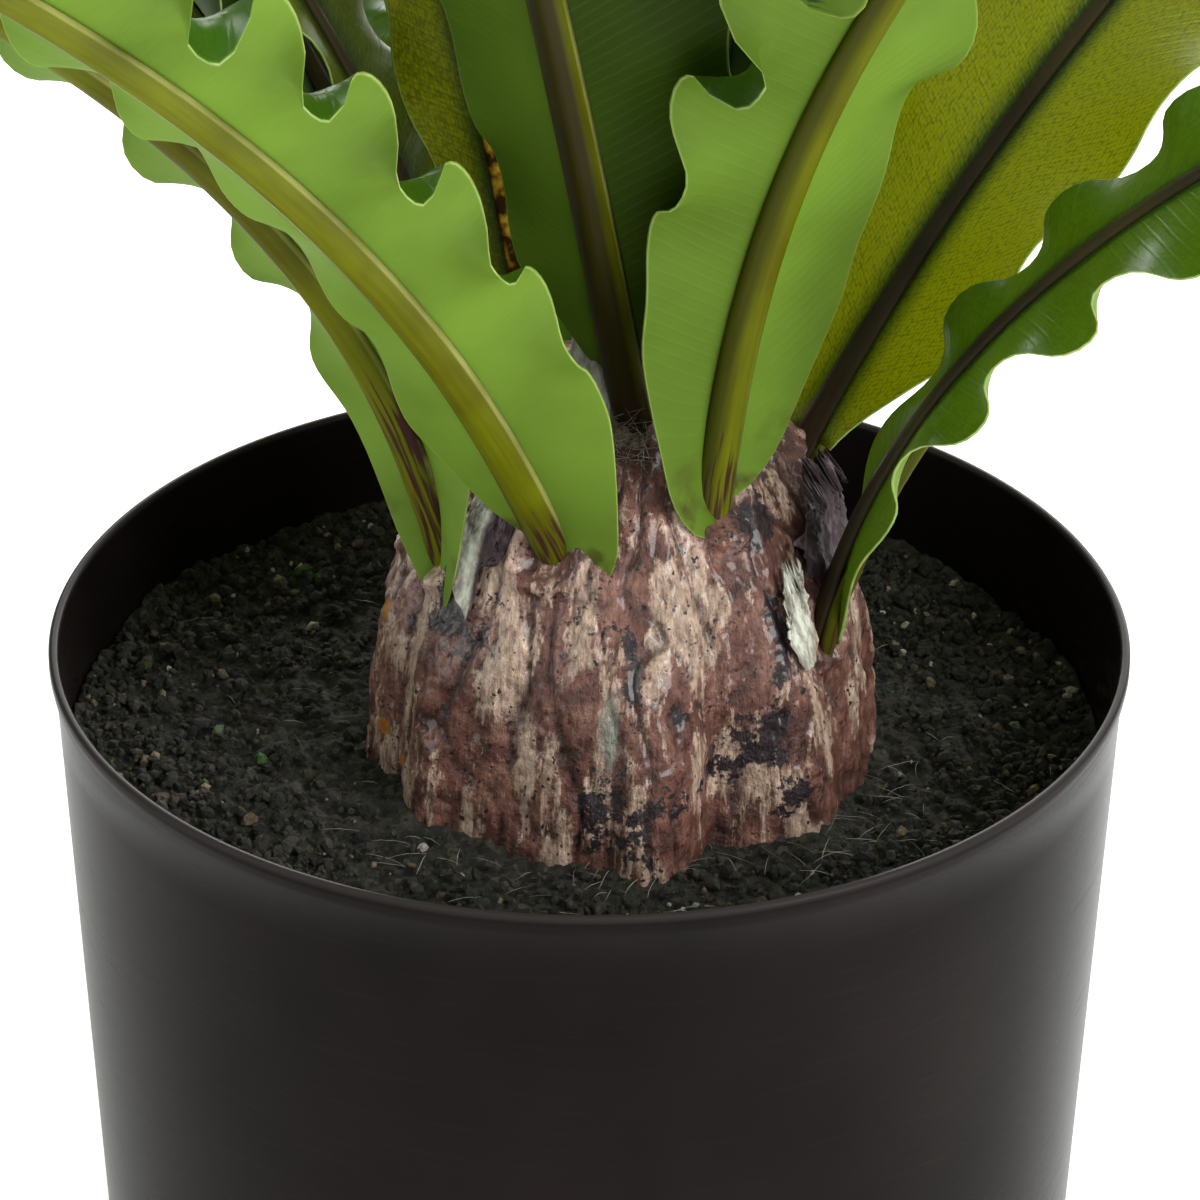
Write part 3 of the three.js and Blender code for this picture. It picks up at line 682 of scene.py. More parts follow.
def rootstock_material(colours):
    """Cast resin rootstock, hand painted in layers: beige, a red-brown wash, then near-black in the hollows.

    The wash runs down in streaks, and the varnish over it leaves small glints on the flutes.
    """
    material, add = new_material("resin_rootstock_cast_painted")
    place = add("TexCoord")
    tall = add("Mapping", inputs=(place, (1.0, 1.0, 0.12)))
    value = {key: add("Attribute", key, wanted="Fac") for key in ("relief", "column", *PAINT)}
    broad = add("TexNoise", inputs=(tall, per_mm(7), 5.0, 0.62, 0.5))
    streak = add("TexNoise", inputs=(tall, per_mm(1.8), 5.0, 0.68))
    grain = add("TexNoise", inputs=(place, per_mm(1.1), 4.0, 0.7))
    lump = add("TexNoise", inputs=(place, per_mm(6), 4.0, 0.6))
    # beige shows where the wash was thin: mostly in streaks and in the pale patches
    bare = add("Math", "MULTIPLY_ADD", (streak, 0.5, broad))
    weights = {"pale": 0.22, "relief": 0.12, "column": 0.16}
    parts = [(weight, value[key]) for key, weight in weights.items()]
    for weight, part in (*parts, (0.24, grain), (-0.22, value["thick"])):
        bare = add("Math", "MULTIPLY_ADD", (part, weight, bare))
    shown = add("MapRange", inputs=(bare, 0.87, 0.95))
    wash = add("ValToRGB", [(0.34, "#472a21"), (0.48, colours.root_wash), (0.64, "#8f6656")], lump)
    base = add("ValToRGB", [(0.36, "#8b7060"), (0.5, colours.root_base), (0.64, "#cdaf9e")], streak)
    tone = add("Mix", inputs=(shown, wash, base))
    # dirt and fine cracks darken the paint a little everywhere
    dirt = add("TexNoise", inputs=(tall, per_mm(0.8), 4.0, 0.7))
    dirt = add("MapRange", inputs=(dirt, 0.35, 0.62, 0.6, 1.22))
    dirt = add("CombineColor", inputs=(dirt, dirt, dirt))
    tone = add("Mix", "MULTIPLY", (1.0, tone, dirt))
    # the bottoms of the flutes are darker
    hollow = add("MapRange", inputs=(value["relief"], -0.15, -0.75))
    hollow = add("Math", "MULTIPLY", (hollow, 0.75))
    tone = add("Mix", inputs=(hollow, tone, "#41261f"))
    # near-black paint in the patches, broken up by the grain
    black = lump
    for weight, part in ((0.26, value["dark"]), (0.45, grain), (-0.08, value["relief"])):
        black = add("Math", "MULTIPLY_ADD", (part, weight, black))
    black = add("MapRange", inputs=(black, 0.88, 0.93))
    tone = add("Mix", inputs=(black, tone, colours.root_dark))
    # pinpricks of black, the grey-green streak and the orange spots
    prick = add("TexNoise", inputs=(place, per_mm(1.3), 1.0))
    prick = add("MapRange", inputs=(prick, 0.32, 0.28))
    tone = add("Mix", inputs=(prick, tone, "#231a18"))
    mossy = add("Math", "MULTIPLY", (value["green"], streak))
    mossy = add("MapRange", inputs=(mossy, 0.22, 0.42))
    tone = add("Mix", inputs=(mossy, tone, "#8d8f83"))
    amber = add("MapRange", inputs=(value["orange"], 0.45, 0.7))
    tone = add("Mix", inputs=(amber, tone, "#b0701c"))
    coarse = add("Bump", inputs=(streak, 0.8, 1.3 * MM))
    fine = add("Bump", inputs=(grain, 0.8, 0.9 * MM, coarse))
    gloss = add("MapRange", inputs=(grain, 0.3, 0.7, 0.3, 0.52))
    skin = add(
        "BsdfPrincipled",
        inputs={
            "Base Color": tone,
            "Roughness": gloss,
            "IOR": 1.5,
            "Coat Weight": 0.5,
            "Coat Roughness": 0.16,
            "Normal": fine,
        },
    )
    add("OutputMaterial", inputs=skin)
    return material


def soil_material(colours, name, loose):
    """Peat and bark potting mix, dug and settled: matte charcoal crumbs with tan, white and green specks."""
    material, add = new_material(name)
    place = add("TexCoord")
    crumb = add("TexVoronoi", inputs=(place, per_mm(1.6)), wanted=1)
    shade = add("SeparateColor", inputs=crumb)
    lump = add("TexNoise", inputs=(place, per_mm(1.0), 5.0, 0.75))
    stops = [(0.0, "#131210"), (0.45, colours.soil), (0.8, "#38362c"), (0.97, "#4c463a")]
    if loose:
        shade = add("Attribute", "tint", wanted="Fac")
        stops = [
            (0.0, "#12110e"), (0.4, colours.soil), (0.8, "#34322a"), (0.94, "#48433a"),
            (0.96, "#6a573f"), (0.976, "#94856c"), (0.987, "#bdb8ac"), (0.996, "#3a5a22"),
        ]
    tone = add("ValToRGB", stops, shade)
    dust = add("MapRange", inputs=(lump, 0.32, 0.68, 0.3, 1.7))
    dust = add("CombineColor", inputs=(dust, dust, dust))
    tone = add("Mix", "MULTIPLY", (1.0, tone, dust))
    clod = add("TexVoronoi", inputs=(place, per_mm(1.5)))
    clods = add("Bump", {"invert": True}, (clod, 0.9, 1.0 * MM))
    bump = add("Bump", inputs=(lump, 1.0, 1.2 * MM, clods))
    rough = add("MapRange", inputs={"Value": lump, "To Min": 0.72, "To Max": 0.95})
    skin = add("BsdfPrincipled", inputs={"Base Color": tone, "Roughness": rough, "IOR": 1.45, "Normal": bump})
    add("OutputMaterial", inputs=skin)
    return material


def pot_material(colours):
    """Black polypropylene, injection moulded: a satin gloss with faint scuffs and a soft brown cast."""
    material, add = new_material("polypropylene_pot_injection_moulded")
    place = add("TexCoord")
    cloud = add("TexNoise", inputs=(place, per_mm(60), 3.0))
    band = add("Mapping", inputs=(place, (0.5, 0.5, 9.0)))
    # scuffs from stacking run round the wall, about 1 mm high
    scuff = add("TexNoise", inputs=(band, per_mm(14), 6.0, 0.7))
    scuff = add("MapRange", inputs=(scuff, 0.58, 0.78))
    tone = add("ValToRGB", [(0.35, "#110e0d"), (0.6, colours.pot), (0.8, "#1e1917")], cloud)
    worn = add("Math", "MULTIPLY", (scuff, 0.06))
    tone = add("Mix", inputs=(worn, tone, "#3a3532"))
    # painted highlight: the top of the rim is painted a lighter grey
    height = add("SeparateXYZ", inputs=place)[2]
    rim_highlight = add("MapRange", inputs=(height, (POT_HEIGHT - 1.2) * MM, (POT_HEIGHT - 0.1) * MM))
    rim_highlight = add("Math", "MULTIPLY", (rim_highlight, 0.7))
    tone = add("Mix", inputs=(rim_highlight, tone, "#3a3535"))
    gloss = add("Math", "MULTIPLY_ADD", (scuff, 0.1, 0.27))
    grain = add("TexNoise", inputs=(place, per_mm(0.8), 2.0))
    bump = add("Bump", inputs=(grain, 0.08, 0.1 * MM))
    skin = add(
        "BsdfPrincipled",
        inputs={
            "Base Color": tone, "Roughness": gloss, "IOR": 1.49, "Specular IOR Level": 0.035, "Normal": bump
        },
    )
    add("OutputMaterial", inputs=skin)
    return material


def scale_material(colours):
    """Dried leaf scale, papery and crinkled: dull grey with white and dark brown patches."""
    material, add = new_material("paper_scale_dried")
    place = add("TexCoord")
    tall = add("Mapping", inputs=(place, (1.0, 1.0, 0.3)))
    streak = add("TexNoise", inputs=(tall, per_mm(2.5), 5.0, 0.65))
    tint = add("Attribute", "tint", wanted="Fac")
    worn = add("ValToRGB", [(0.32, "#57564a"), (0.46, colours.scale), (0.6, "#cdd0c0")], streak)
    dark = add("ValToRGB", [(0.36, "#1b1213"), (0.52, "#38262a"), (0.66, "#6a5b60")], streak)
    tone = add("Mix", inputs=(tint, dark, worn))
    bump = add("Bump", inputs=(streak, 0.7, 0.5 * MM))
    skin = add("BsdfPrincipled", inputs={"Base Color": tone, "Roughness": 0.7, "IOR": 1.45, "Normal": bump})
    add("OutputMaterial", inputs=skin)
    return material


def fibre_material():
    """Loose plant fibre, dried: thin off-white hairs."""
    material, add = new_material("plant_fibre_dried")
    place = add("TexCoord")
    fade = add("TexNoise", inputs=(place, per_mm(8), 2.0))
    tone = add("ValToRGB", [(0.35, "#7a7468"), (0.65, "#b9b6a8")], fade)
    skin = add("BsdfPrincipled", inputs={"Base Color": tone, "Roughness": 0.6, "IOR": 1.5})
    add("OutputMaterial", inputs=skin)
    return material


def floor_material():
    """White studio paper, matte: pale enough to lose its edge in the soft light."""
    material, add = new_material("paper_floor_matte")
    place = add("TexCoord")
    tooth = add("TexNoise", inputs=(place, per_mm(40), 2.0))
    tone = add("ValToRGB", [(0.3, grey(0.86)), (0.7, grey(0.9))], tooth)
    skin = add(
        "BsdfPrincipled",
        inputs={
            "Base Color": tone,
            "Roughness": 0.95,
            "Specular IOR Level": 0.1,
            "Emission Color": WHITE,
            "Emission Strength": 0.4,
        },
    )
    add("OutputMaterial", inputs=skin)
    return material


# Pieces


class FERN_OT_stage(bpy.types.Operator):
    """Sets the floor, the soft lights and the camera"""

    bl_idname = "fern.stage"
    bl_label = "Studio"

    def execute(self, context):
        scene = context.scene
        scene.view_settings.view_transform = "Standard"
        sides, reach = 96, 7000
        angle = np.arange(sides) * 2 * math.pi / sides
        points = np.stack([reach * np.cos(angle), reach * np.sin(angle), np.full(sides, -0.3)], -1)
        floor = bpy.data.objects.new("floor", make_mesh("floor", points, [list(range(sides))]))
        floor.data.materials.append(floor_material())
        scene.collection.objects.link(floor)

        world = bpy.data.worlds.new("studio")
        world.use_nodes = True
        world.node_tree.nodes["Background"].inputs[0].default_value = grey(1.0)
        world.node_tree.nodes["Background"].inputs[1].default_value = 0.3
        scene.world = world

        lights = [
            ("top_softbox", (0.0, 0.1, 2.1), 1.6, 1.6, 50),
            ("left_softbox", (-2.0, -0.6, 1.0), 1.3, 1.5, 15),
            ("right_softbox", (1.6, -1.3, 1.3), 1.4, 1.4, 62),
            ("back_softbox", (0.4, 2.4, 0.9), 2.4, 1.6, 70),
        ]
        for name, place, wide, tall, power in lights:
            lamp = bpy.data.lights.new(name, "AREA")
            lamp.shape, lamp.size, lamp.size_y, lamp.energy = "RECTANGLE", wide, tall, power
            light = bpy.data.objects.new(name, lamp)
            light.location = place
            aim = Vector((0, 0, 0.22)) - light.location
            light.rotation_euler = aim.to_track_quat("-Z", "Y").to_euler()
            light.visible_camera = False
            scene.collection.objects.link(light)

        tilt, roll = math.radians(CAMERA_TILT), math.radians(CAMERA_ROLL)
        forward = Vector((0, math.cos(tilt), -math.sin(tilt)))
        right, up = Vector((1, 0, 0)), Vector((0, math.sin(tilt), math.cos(tilt)))
        across = right * math.cos(roll) + up * math.sin(roll)
        above = up * math.cos(roll) - right * math.sin(roll)
        lens = bpy.data.cameras.new("camera")
        lens.lens, lens.sensor_width = CAMERA_LENS, 36
        lens.clip_start, lens.clip_end = 0.01, 100
        camera = bpy.data.objects.new("camera", lens)
        camera.matrix_world = (
            Matrix.Translation(CAMERA_PLACE) @ Matrix((across, above, -forward)).transposed().to_4x4()
        )
        scene.collection.objects.link(camera)
        scene.camera = camera
        return {"FINISHED"}


class FERN_OT_pot(bpy.types.Operator):
    """Builds the pot with its rounded rim"""

    bl_idname = "fern.pot"
    bl_label = "Pot"

    def execute(self, context):
        top, rim_inner = POT_HEIGHT, RIM_RADIUS - WALL_THICKNESS
        corners = [
            (0, 0), (WALL_BASE_RADIUS - 2, 0), (WALL_BASE_RADIUS - 0.6, 0.7), (WALL_BASE_RADIUS, 2.5),
            (WALL_TOP_RADIUS, top - 4.5), (WALL_TOP_RADIUS + 0.7, top - 3.7), (RIM_RADIUS - 0.3, top - 2.7),
            (RIM_RADIUS, top - 2.0), (RIM_RADIUS, top - 0.5), (RIM_RADIUS - 0.3, top - 0.1),
            (RIM_RADIUS - 0.7, top),
            (rim_inner + 0.5, top), (rim_inner + 0.1, top - 0.3), (rim_inner, top - 0.8),
            (WALL_TOP_RADIUS - WALL_THICKNESS, top - 5),
            (WALL_BASE_RADIUS - WALL_THICKNESS + 0.2, FLOOR_THICKNESS),
            (0, FLOOR_THICKNESS),
        ]
        profile = [corners[0]]
        for (r0, z0), (r1, z1) in zip(corners, corners[1:]):
            parts = max(1, round(math.hypot(r1 - r0, z1 - z0) / 9))
            profile += [(r0 + (r1 - r0) * k / parts, z0 + (z1 - z0) * k / parts) for k in range(1, parts + 1)]
        points, faces = lathe(profile, 256)
        mesh = make_mesh("pot_shell", points, faces)
        put(mesh, [pot_material(context.scene.fern_colours)], ["pot"])
        return {"FINISHED"}


class FERN_OT_soil(bpy.types.Operator):
    """Builds the settled soil, its loose crumbs and the fibres that lie on it"""

    bl_idname = "fern.soil"
    bl_label = "Soil"

    def execute(self, context):
        colours, sizes = context.scene.fern_colours, context.scene.fern_sizes
        directions = np.arange(SIDES) * 360 / SIDES
        wall_top = pot_inner_radius(POT_HEIGHT - SOIL_DEPTH) - 0.35
        wall_foot = pot_inner_radius(FLOOR_THICKNESS) - 0.6
        outer, inner = wall_point(directions, wall_top), root_point(directions, -SOIL_DEPTH, -1.5)[:, :2]
        rings = [np.column_stack([wall_point(directions, wall_foot), np.full(SIDES, FLOOR_THICKNESS + 0.3)])]
        for share in np.linspace(0, 1, SOIL_RINGS):
            flat = outer + (inner - outer) * share
            top = np.column_stack([flat, soil_height(flat[:, 0], flat[:, 1])])
            lumps = 1.3 * field(top, 9, 3) + 1.1 * field(top, 3.2) + 0.9 * field(top, 1.6, 1, 9.0)
            bank = 2.2 * np.exp(-((share / 0.05) ** 2)) + 1.2 * np.exp(-(((1 - share) / 0.07) ** 2))
            top[:, 2] += lumps + bank * (0.6 + 0.5 * field(top, 14, 1, 4.0))
            rings.append(top)
        for height in (-36, -48, ROOT_FOOT - 0.5):
            rings.append(
                root_point(directions, max(height, ROOT_FOOT), 0.9) + [0, 0, min(0, height - ROOT_FOOT)]
            )
        start = [[ROOT_AXIS_X, 0, FLOOR_THICKNESS + 0.3]]
        end = [[ROOT_AXIS_X, 0, POT_HEIGHT + ROOT_FOOT - 0.5]]
        mesh = make_mesh("soil_body", np.vstack([start, *rings, end]), ring_faces(len(rings), SIDES))
        put(mesh, [soil_material(colours, "potting_mix_settled", False)], ["soil"])

        chance = random.Random(5)
        # each crumb is a dented ball with twenty faces
        golden = (1 + 5**0.5) / 2
        ball = np.array(
            [(-1, golden, 0), (1, golden, 0), (-1, -golden, 0), (1, -golden, 0), (0, -1, golden),
             (0, 1, golden),
             (0, -1, -golden), (0, 1, -golden), (golden, 0, -1), (golden, 0, 1), (-golden, 0, -1),
             (-golden, 0, 1)]
        ) / 1.9
        ball_faces = np.array(
            [(0, 11, 5), (0, 5, 1), (0, 1, 7), (0, 7, 10), (0, 10, 11), (1, 5, 9), (5, 11, 4),
             (11, 10, 2), (10, 7, 6), (7, 1, 8), (3, 9, 4), (3, 4, 2), (3, 2, 6), (3, 6, 8),
             (3, 8, 9), (4, 9, 5), (2, 4, 11), (6, 2, 10), (8, 6, 7), (9, 8, 1)]
        )
        points, faces, tints = [], [], []
        for k in range(sizes.crumb_count):
            direction = chance.uniform(0, 360)
            near, far = root_point(direction, -SOIL_DEPTH, 0.3)[:2], wall_point(direction, wall_top - 1.0)
            share = math.sqrt(chance.uniform(0.0, 1.0))
            flat = near + (far - near) * share
            radius = (
                sizes.crumb_size / MM * chance.choice([0.5, 0.6, 0.8, 1.0, 1.2, 2.0]) * chance.uniform(0.8, 1.3)
            )
            shape = ball * [[chance.uniform(0.65, 1.25)] for _ in range(12)]
            shape = shape * [chance.uniform(0.7, 1.3), chance.uniform(0.7, 1.3), 0.8]
            turn = Matrix.Rotation(
                chance.uniform(0, 6.3), 3, Vector([chance.uniform(-1, 1) for _ in range(3)])
            )
            shape = shape @ np.array(turn) * radius
            lump = 0.9 * noise.noise(Vector((flat[0], flat[1], 157)) / 9)
            rest = float(soil_height(flat[0], flat[1])) + lump + 0.4 * radius + 0.8
            points.append(shape + [flat[0], flat[1], rest])
            faces.append(ball_faces + 12 * k)
            tints += [chance.random() ** 0.9] * 12
        mesh = make_mesh("soil_crumbs", np.vstack(points), np.vstack(faces).tolist(), tint=tints)
        mesh.polygons.foreach_set("use_smooth", [False] * len(mesh.polygons))
        put(mesh, [soil_material(colours, "potting_mix_loose_crumbs", True)])

        paths = []
        for _ in range(SOIL_HAIRS):
            direction = chance.choice([chance.gauss(-30, 14), chance.gauss(-85, 30), chance.uniform(0, 360)])
            near, far = root_point(direction, -SOIL_DEPTH, 2)[:2], wall_point(direction, wall_top - 3)
            spot = near + (far - near) * min(0.95, abs(chance.gauss(0, 0.33)))
            heading, curl, length = chance.uniform(0, 6.3), chance.gauss(0, 0.04), chance.uniform(3, 9)
            path = []
            for s in range(8):
                arch = 0.4 * math.sin(s / 7 * math.pi)
                rest = float(soil_height(spot[0], spot[1])) + 1.5 + arch + chance.uniform(-0.1, 0.1)
                path.append([spot[0], spot[1], rest])
                heading += curl
                spot = spot + np.array([math.cos(heading), math.sin(heading)]) * length / 7
            paths.append(path)
        put(strands("soil_fibres", paths, 0.05), [fibre_material()])
        return {"FINISHED"}


class FERN_OT_rootstock(bpy.types.Operator):
    """Builds the fluted rootstock and the fibres at its crown"""

    bl_idname = "fern.rootstock"
    bl_label = "Rootstock"

    def execute(self, context):
        colours, sizes = context.scene.fern_colours, context.scene.fern_sizes
        directions = np.arange(SIDES) * 360 / SIDES
        buried, shown = np.linspace(ROOT_FOOT, -30, 7)[:-1], np.linspace(-30, 54.6, ROOT_LEVELS - 6)
        heights = np.concatenate([buried, shown])
        direction, height = np.meshgrid(directions, heights)
        direction, height = direction.ravel(), height.ravel()
        base = root_point(direction, height)
        # columns about 9 mm wide fan down from the frond feet, with a narrow flute between each two
        wander = 1.1 * field(base * [1, 1, 0.4], 15, 2, 1.0)
        turns = (direction + 180) / 360 * 30 + wander
        number = np.floor(turns) % 30
        from_flute = 0.5 - np.abs(turns % 1 - 0.5)
        column = field(np.column_stack([number * 7.3, number * 0, height / 15]), 1.0, 1, 0.37)
        broken = smooth(0.75 + 1.3 * field(base * [1, 1, 0.5], 8, 2, 4.0))
        flute = np.exp(-((from_flute / 0.11) ** 2)) * broken
        knob = field(base * [1, 1, 0.6], 6, 3, 2.0)
        crack = np.abs(field(base * [1, 1, 0.3], 3.1, 2, 6.0))
        relief = (
            0.35 * column + 0.65 * knob
            + 0.15 * np.sin(math.pi * np.clip(from_flute * 2, 0, 1)) - 0.75 * flute
        )
        relief -= 0.45 * np.exp(-((crack / 0.06) ** 2))
        above = 1 - 0.45 * smooth((height - 30) / 20)
        out = sizes.bark_relief / MM * relief * above + 0.3 * field(base, 2.2, 3, 5.0)
        # a lip of cast resin stands round each stalk
        for frond in FRONDS:
            gap = (
                ((direction - frond["foot"][0] + 180) % 360 - 180) * np.pi / 180 * root_radius(direction, height)
            )
            away = np.hypot(gap, (height - frond["foot"][1] + 1.5))
            out += (
                (1.9 + 0.8 * knob) * np.exp(-(((away - 6.0) / 1.9) ** 2)) - 0.8 * np.exp(-((away / 3.4) ** 2))
            )
        points = root_point(direction, height, out)
        start, end = [[ROOT_AXIS_X, 0, POT_HEIGHT + ROOT_FOOT]], [[ROOT_AXIS_X, 0, POT_HEIGHT + ROOT_TOP]]
        layers = {"relief": relief, "column": column}
        layers |= {key: patches(table, direction, height) for key, table in PAINT.items()}
        layers = {key: np.concatenate([[0], values, [0]]) for key, values in layers.items()}
        faces = ring_faces(len(heights), SIDES)
        mesh = make_mesh("rootstock_body", np.vstack([start, points, end]), faces, **layers)
        put(mesh, [rootstock_material(colours)], ["rootstock"])

        chance = random.Random(11)
        paths = []
        for _ in range(CROWN_HAIRS):
            direction, height = chance.gauss(-105, 30), chance.uniform(46, 54)
            spot = root_point(direction, height, 0.4)
            lean = np.array([chance.gauss(0, 1), chance.gauss(-0.4, 1), chance.uniform(0.1, 1.2)])
            lean /= np.linalg.norm(lean)
            bend = np.array([chance.gauss(0, 0.3), chance.gauss(0, 0.3), chance.gauss(-0.1, 0.25)])
            length = chance.uniform(3, 10)
            paths.append([spot + (lean * s + bend * s * s) * length / 6 for s in np.linspace(0, 1, 6) * 3])
        # the dried stump of an old stalk stands in the crown
        foot, rings = root_point(-112, 49), []
        for share in np.linspace(0, 1, 14):
            angle = np.arange(20) * 2 * math.pi / 20
            reach = (0.5 + 3.8 * (1 - share) ** 0.6) * (1 + 0.25 * np.cos(3 * angle + share * 2))
            ring = np.stack(
                [reach * np.cos(angle), 0.6 * reach * np.sin(angle), np.full(20, 30 * share - 2)], -1
            )
            rings.append(foot + ring + [1.5 * share, 3.0 * share, 0])
        stump = np.vstack([rings[0].mean(0)[None], *rings, rings[-1].mean(0)[None]])
        stump += 0.4 * field(stump * [1, 1, 0.2], 2.0, 2)[:, None]
        mesh = make_mesh("old_stalk", stump, ring_faces(14, 20), tint=np.full(len(stump), 0.9))
        put(mesh, [scale_material(colours)])
        put(strands("crown_fibres", paths, 0.08), [fibre_material()])
        return {"FINISHED"}


class FERN_OT_blades(bpy.types.Operator):
    """Builds the waved blade of each frond"""

    bl_idname = "fern.blades"
    bl_label = "Blades"

    def execute(self, context):
        colours, sizes = context.scene.fern_colours, context.scene.fern_sizes
        materials = [
            leaf_material("polyethylene_leaf_underside_pressed", colours.under, False),
            leaf_material("polyethylene_leaf_upper_printed", colours.upper, True),
            leaf_edge_material(),
        ]
        rows = BLADE_ROWS
        reaches = np.sin(np.linspace(0, math.pi / 2, HALF_COLUMNS + 1))
        faces, skins = sheet_faces(rows + 1, 2 * HALF_COLUMNS + 1)
        for number, frond in enumerate(FRONDS, 1):
            chance = random.Random(100 + number)
            length, width = frond["length"], frond["width"]
            looks = look(number)
            share = np.linspace(0, 1, rows + 1)
            t = BLADE_START / length + (1 - BLADE_START / length) * share
            place, side, face, out = frond_frames(frond, t)
            fold = fold_at(frond, t)
            halves = []
            for hand, sign in enumerate((-1, 1)):
                drift = unevenness(chance, share, (0.1, 0.3), (2, 3, 5))
                swell = 1 + unevenness(chance, share, (0.06, 0.2), (3, 5, 8))
                half, hang = half_width(frond, t, hand), looks["drop"][hand]
                if hang:
                    rounded = 1 - np.clip((t * length - BLADE_START) / 10, 0, 1)
                    half = half * np.sqrt(np.clip(1 - rounded**2, 0.01, 1))
                grown = 1 + looks["grow"] * (t - 0.35)
                tall = sizes.wave_height * frond["wave"] * smooth((t - looks["calm"]) / 0.13)
                tall = tall * np.sqrt(half / (width / 2)) * swell * looks["sway"][hand] * grown
                phase = 2 * math.pi * looks["waves"] * share + drift
                curl = np.radians(looks["curl"][hand]) * np.clip(grown, 0, 1.1)
                curl = curl * smooth((0.25 - np.cos(phase) * sign) / 1.1)
                curl = curl * smooth((t - 0.04 - looks["calm"]) / 0.16)
                drop = hang * (1 - smooth(t * length / 34))
                flat, rise, last = 0.0, 0.0, 0.0
                strips = []
                for reach in reaches:
                    # where a curl is given the troughs of the waves roll outward, so that the upper side
                    # shows in them
                    angle = fold - curl * smooth(((reach + last) / 2 - 0.55) / 0.4)
                    flat = flat + half * (reach - last) * np.cos(angle)
                    rise = rise + half * (reach - last) * np.sin(angle)
                    last = reach
                    lift = rise + tall * np.cos(phase) * sign * reach**2.2 - 0.5 * drop * reach**1.6
                    slide = 0.26 * tall * np.sin(2 * phase) * reach**3 - drop * reach**1.3
                    spot = place + side * (sign * flat)[:, None] + face * lift[:, None] + out * slide[:, None]
                    layer = np.column_stack([t * length * MM, reach * half * MM, np.full(rows + 1, reach)])
                    strips.append((spot, layer))
                halves.append(strips)
            strips = halves[0][:0:-1] + halves[1]
            grids, leaf = [[], []], [layer for _, layer in strips]
            for spot, _ in strips:
                for grid, up in zip(grids, (-0.5, 0.5)):
                    grid.append(spot + face * (up * sizes.blade_thickness / MM))
            lower, upper = (np.stack(grid, 1).reshape(-1, 3) for grid in grids)
            leaf = np.stack(leaf, 1).reshape(-1, 3)
            name = f"frond_{number:02d}_leaf"
            # the deep value of each half carries its painted shade
            deep = np.repeat(looks["deep"], [HALF_COLUMNS, HALF_COLUMNS + 1])
            tones = np.zeros((len(leaf), 3)) + [0, looks["olive"], number * 0.1]
            tones[:, 0] = np.tile(deep, rows + 1)
            layers = {"leaf": np.vstack([leaf, leaf]), "look": np.vstack([tones, tones])}
            mesh = make_mesh(name, np.vstack([lower, upper]), faces, skins, **layers)
            put(mesh, materials, [f"frond_{number:02d}_blade"])
        return {"FINISHED"}


class FERN_OT_ribs(bpy.types.Operator):
    """Builds the midrib of each frond, with the narrow ridge on its upper side"""

    bl_idname = "fern.ribs"
    bl_label = "Midribs"

    def execute(self, context):
        colours, sizes = context.scene.fern_colours, context.scene.fern_sizes
        material = rib_material(colours)
        bottom = np.linspace(math.pi, 2 * math.pi, 13)[1:]
        for number, frond in enumerate(FRONDS, 1):
            length = frond["length"]
            t = np.concatenate([np.linspace(-PLUG_LENGTH, 0, 5)[:-1], np.linspace(0, length, 110)]) / length
            place, side, face, _ = frond_frames(frond, t)
            slim, fold = rib_slimness(t), fold_at(frond, t)
            blade = smooth((t * length - BLADE_START) / 10)
            skin = sizes.blade_thickness / MM / 2
            points, faces, layer = [], [], []

            def add_body(across, up, ridge):
                first = sum(len(p) for p in points)
                rings = np.stack(
                    [place + side * a[:, None] + face * b[:, None] for a, b in zip(across, up)], 1
                )
                points.append(
                    np.vstack([rings[0].mean(0)[None], rings.reshape(-1, 3), rings[-1].mean(0)[None]])
                )
                faces.extend(ring_faces(len(t), len(across), first))
                along = np.repeat(t * length * MM, len(across))
                turn = np.stack(across, 1).ravel() / np.repeat(
                    np.max(np.abs(np.stack(across, 1)), 1), len(across)
                )
                body = np.column_stack([along, turn, np.full(len(along), ridge)])
                layer.append(np.vstack([body[:1], body, body[-1:]]))

            # the rounded rib under the blade, cupped along its top
            wide, deep = sizes.rib_width / MM / 2 * slim, sizes.rib_depth / MM * slim
            tilt = np.sin(fold) * blade
            top = -skin * blade + 0.3 * (1 - blade)
            across, up = [], []
            for share in (1.0, 0.6, 0.25, 0.0, -0.25, -0.6, -1.0):
                across.append(wide * share)
                up.append(top - 0.35 * abs(share) + wide * abs(share) * tilt)
            for angle in bottom[:-1]:
                rounded = abs(math.sin(angle)) ** 0.85
                across.append(wide * math.cos(angle))
                up.append(top - 0.35 + wide * abs(math.cos(angle)) * tilt - (deep - 0.35) * rounded)
            add_body(across, up, 0.0)
            # the narrow ridge over the blade, which joins the stalk at the foot
            crest = 0.55 + 0.45 * (1 - smooth(t * length / 60))
            narrow = wide * crest * 0.9
            high = sizes.ridge_height / MM * (0.35 + 0.65 * slim) * (1 + 0.4 * (1 - blade))
            across, up = [], []
            for angle in np.linspace(0, math.pi, 9):
                across.append(narrow * math.cos(angle))
                up.append(
                    skin * blade - 0.15 + narrow * abs(math.cos(angle)) * tilt + high * math.sin(angle) ** 0.8
                )
            for share in (-0.5, 0.0, 0.5):
                across.append(narrow * share)
                up.append(skin * blade - 0.2 + narrow * abs(share) * tilt)
            add_body(across, up, 1.0)
            stack = np.vstack(points)
            name = f"frond_{number:02d}_rib"
            looks = look(number)
            looks = np.array([looks["brown"], looks["spotted"], looks["stain"] * MM])
            mesh = make_mesh(name, stack, faces, rib=np.vstack(layer), look=looks + np.zeros((len(stack), 3)))
            put(mesh, [material], [f"frond_{number:02d}_midrib"])
        return {"FINISHED"}


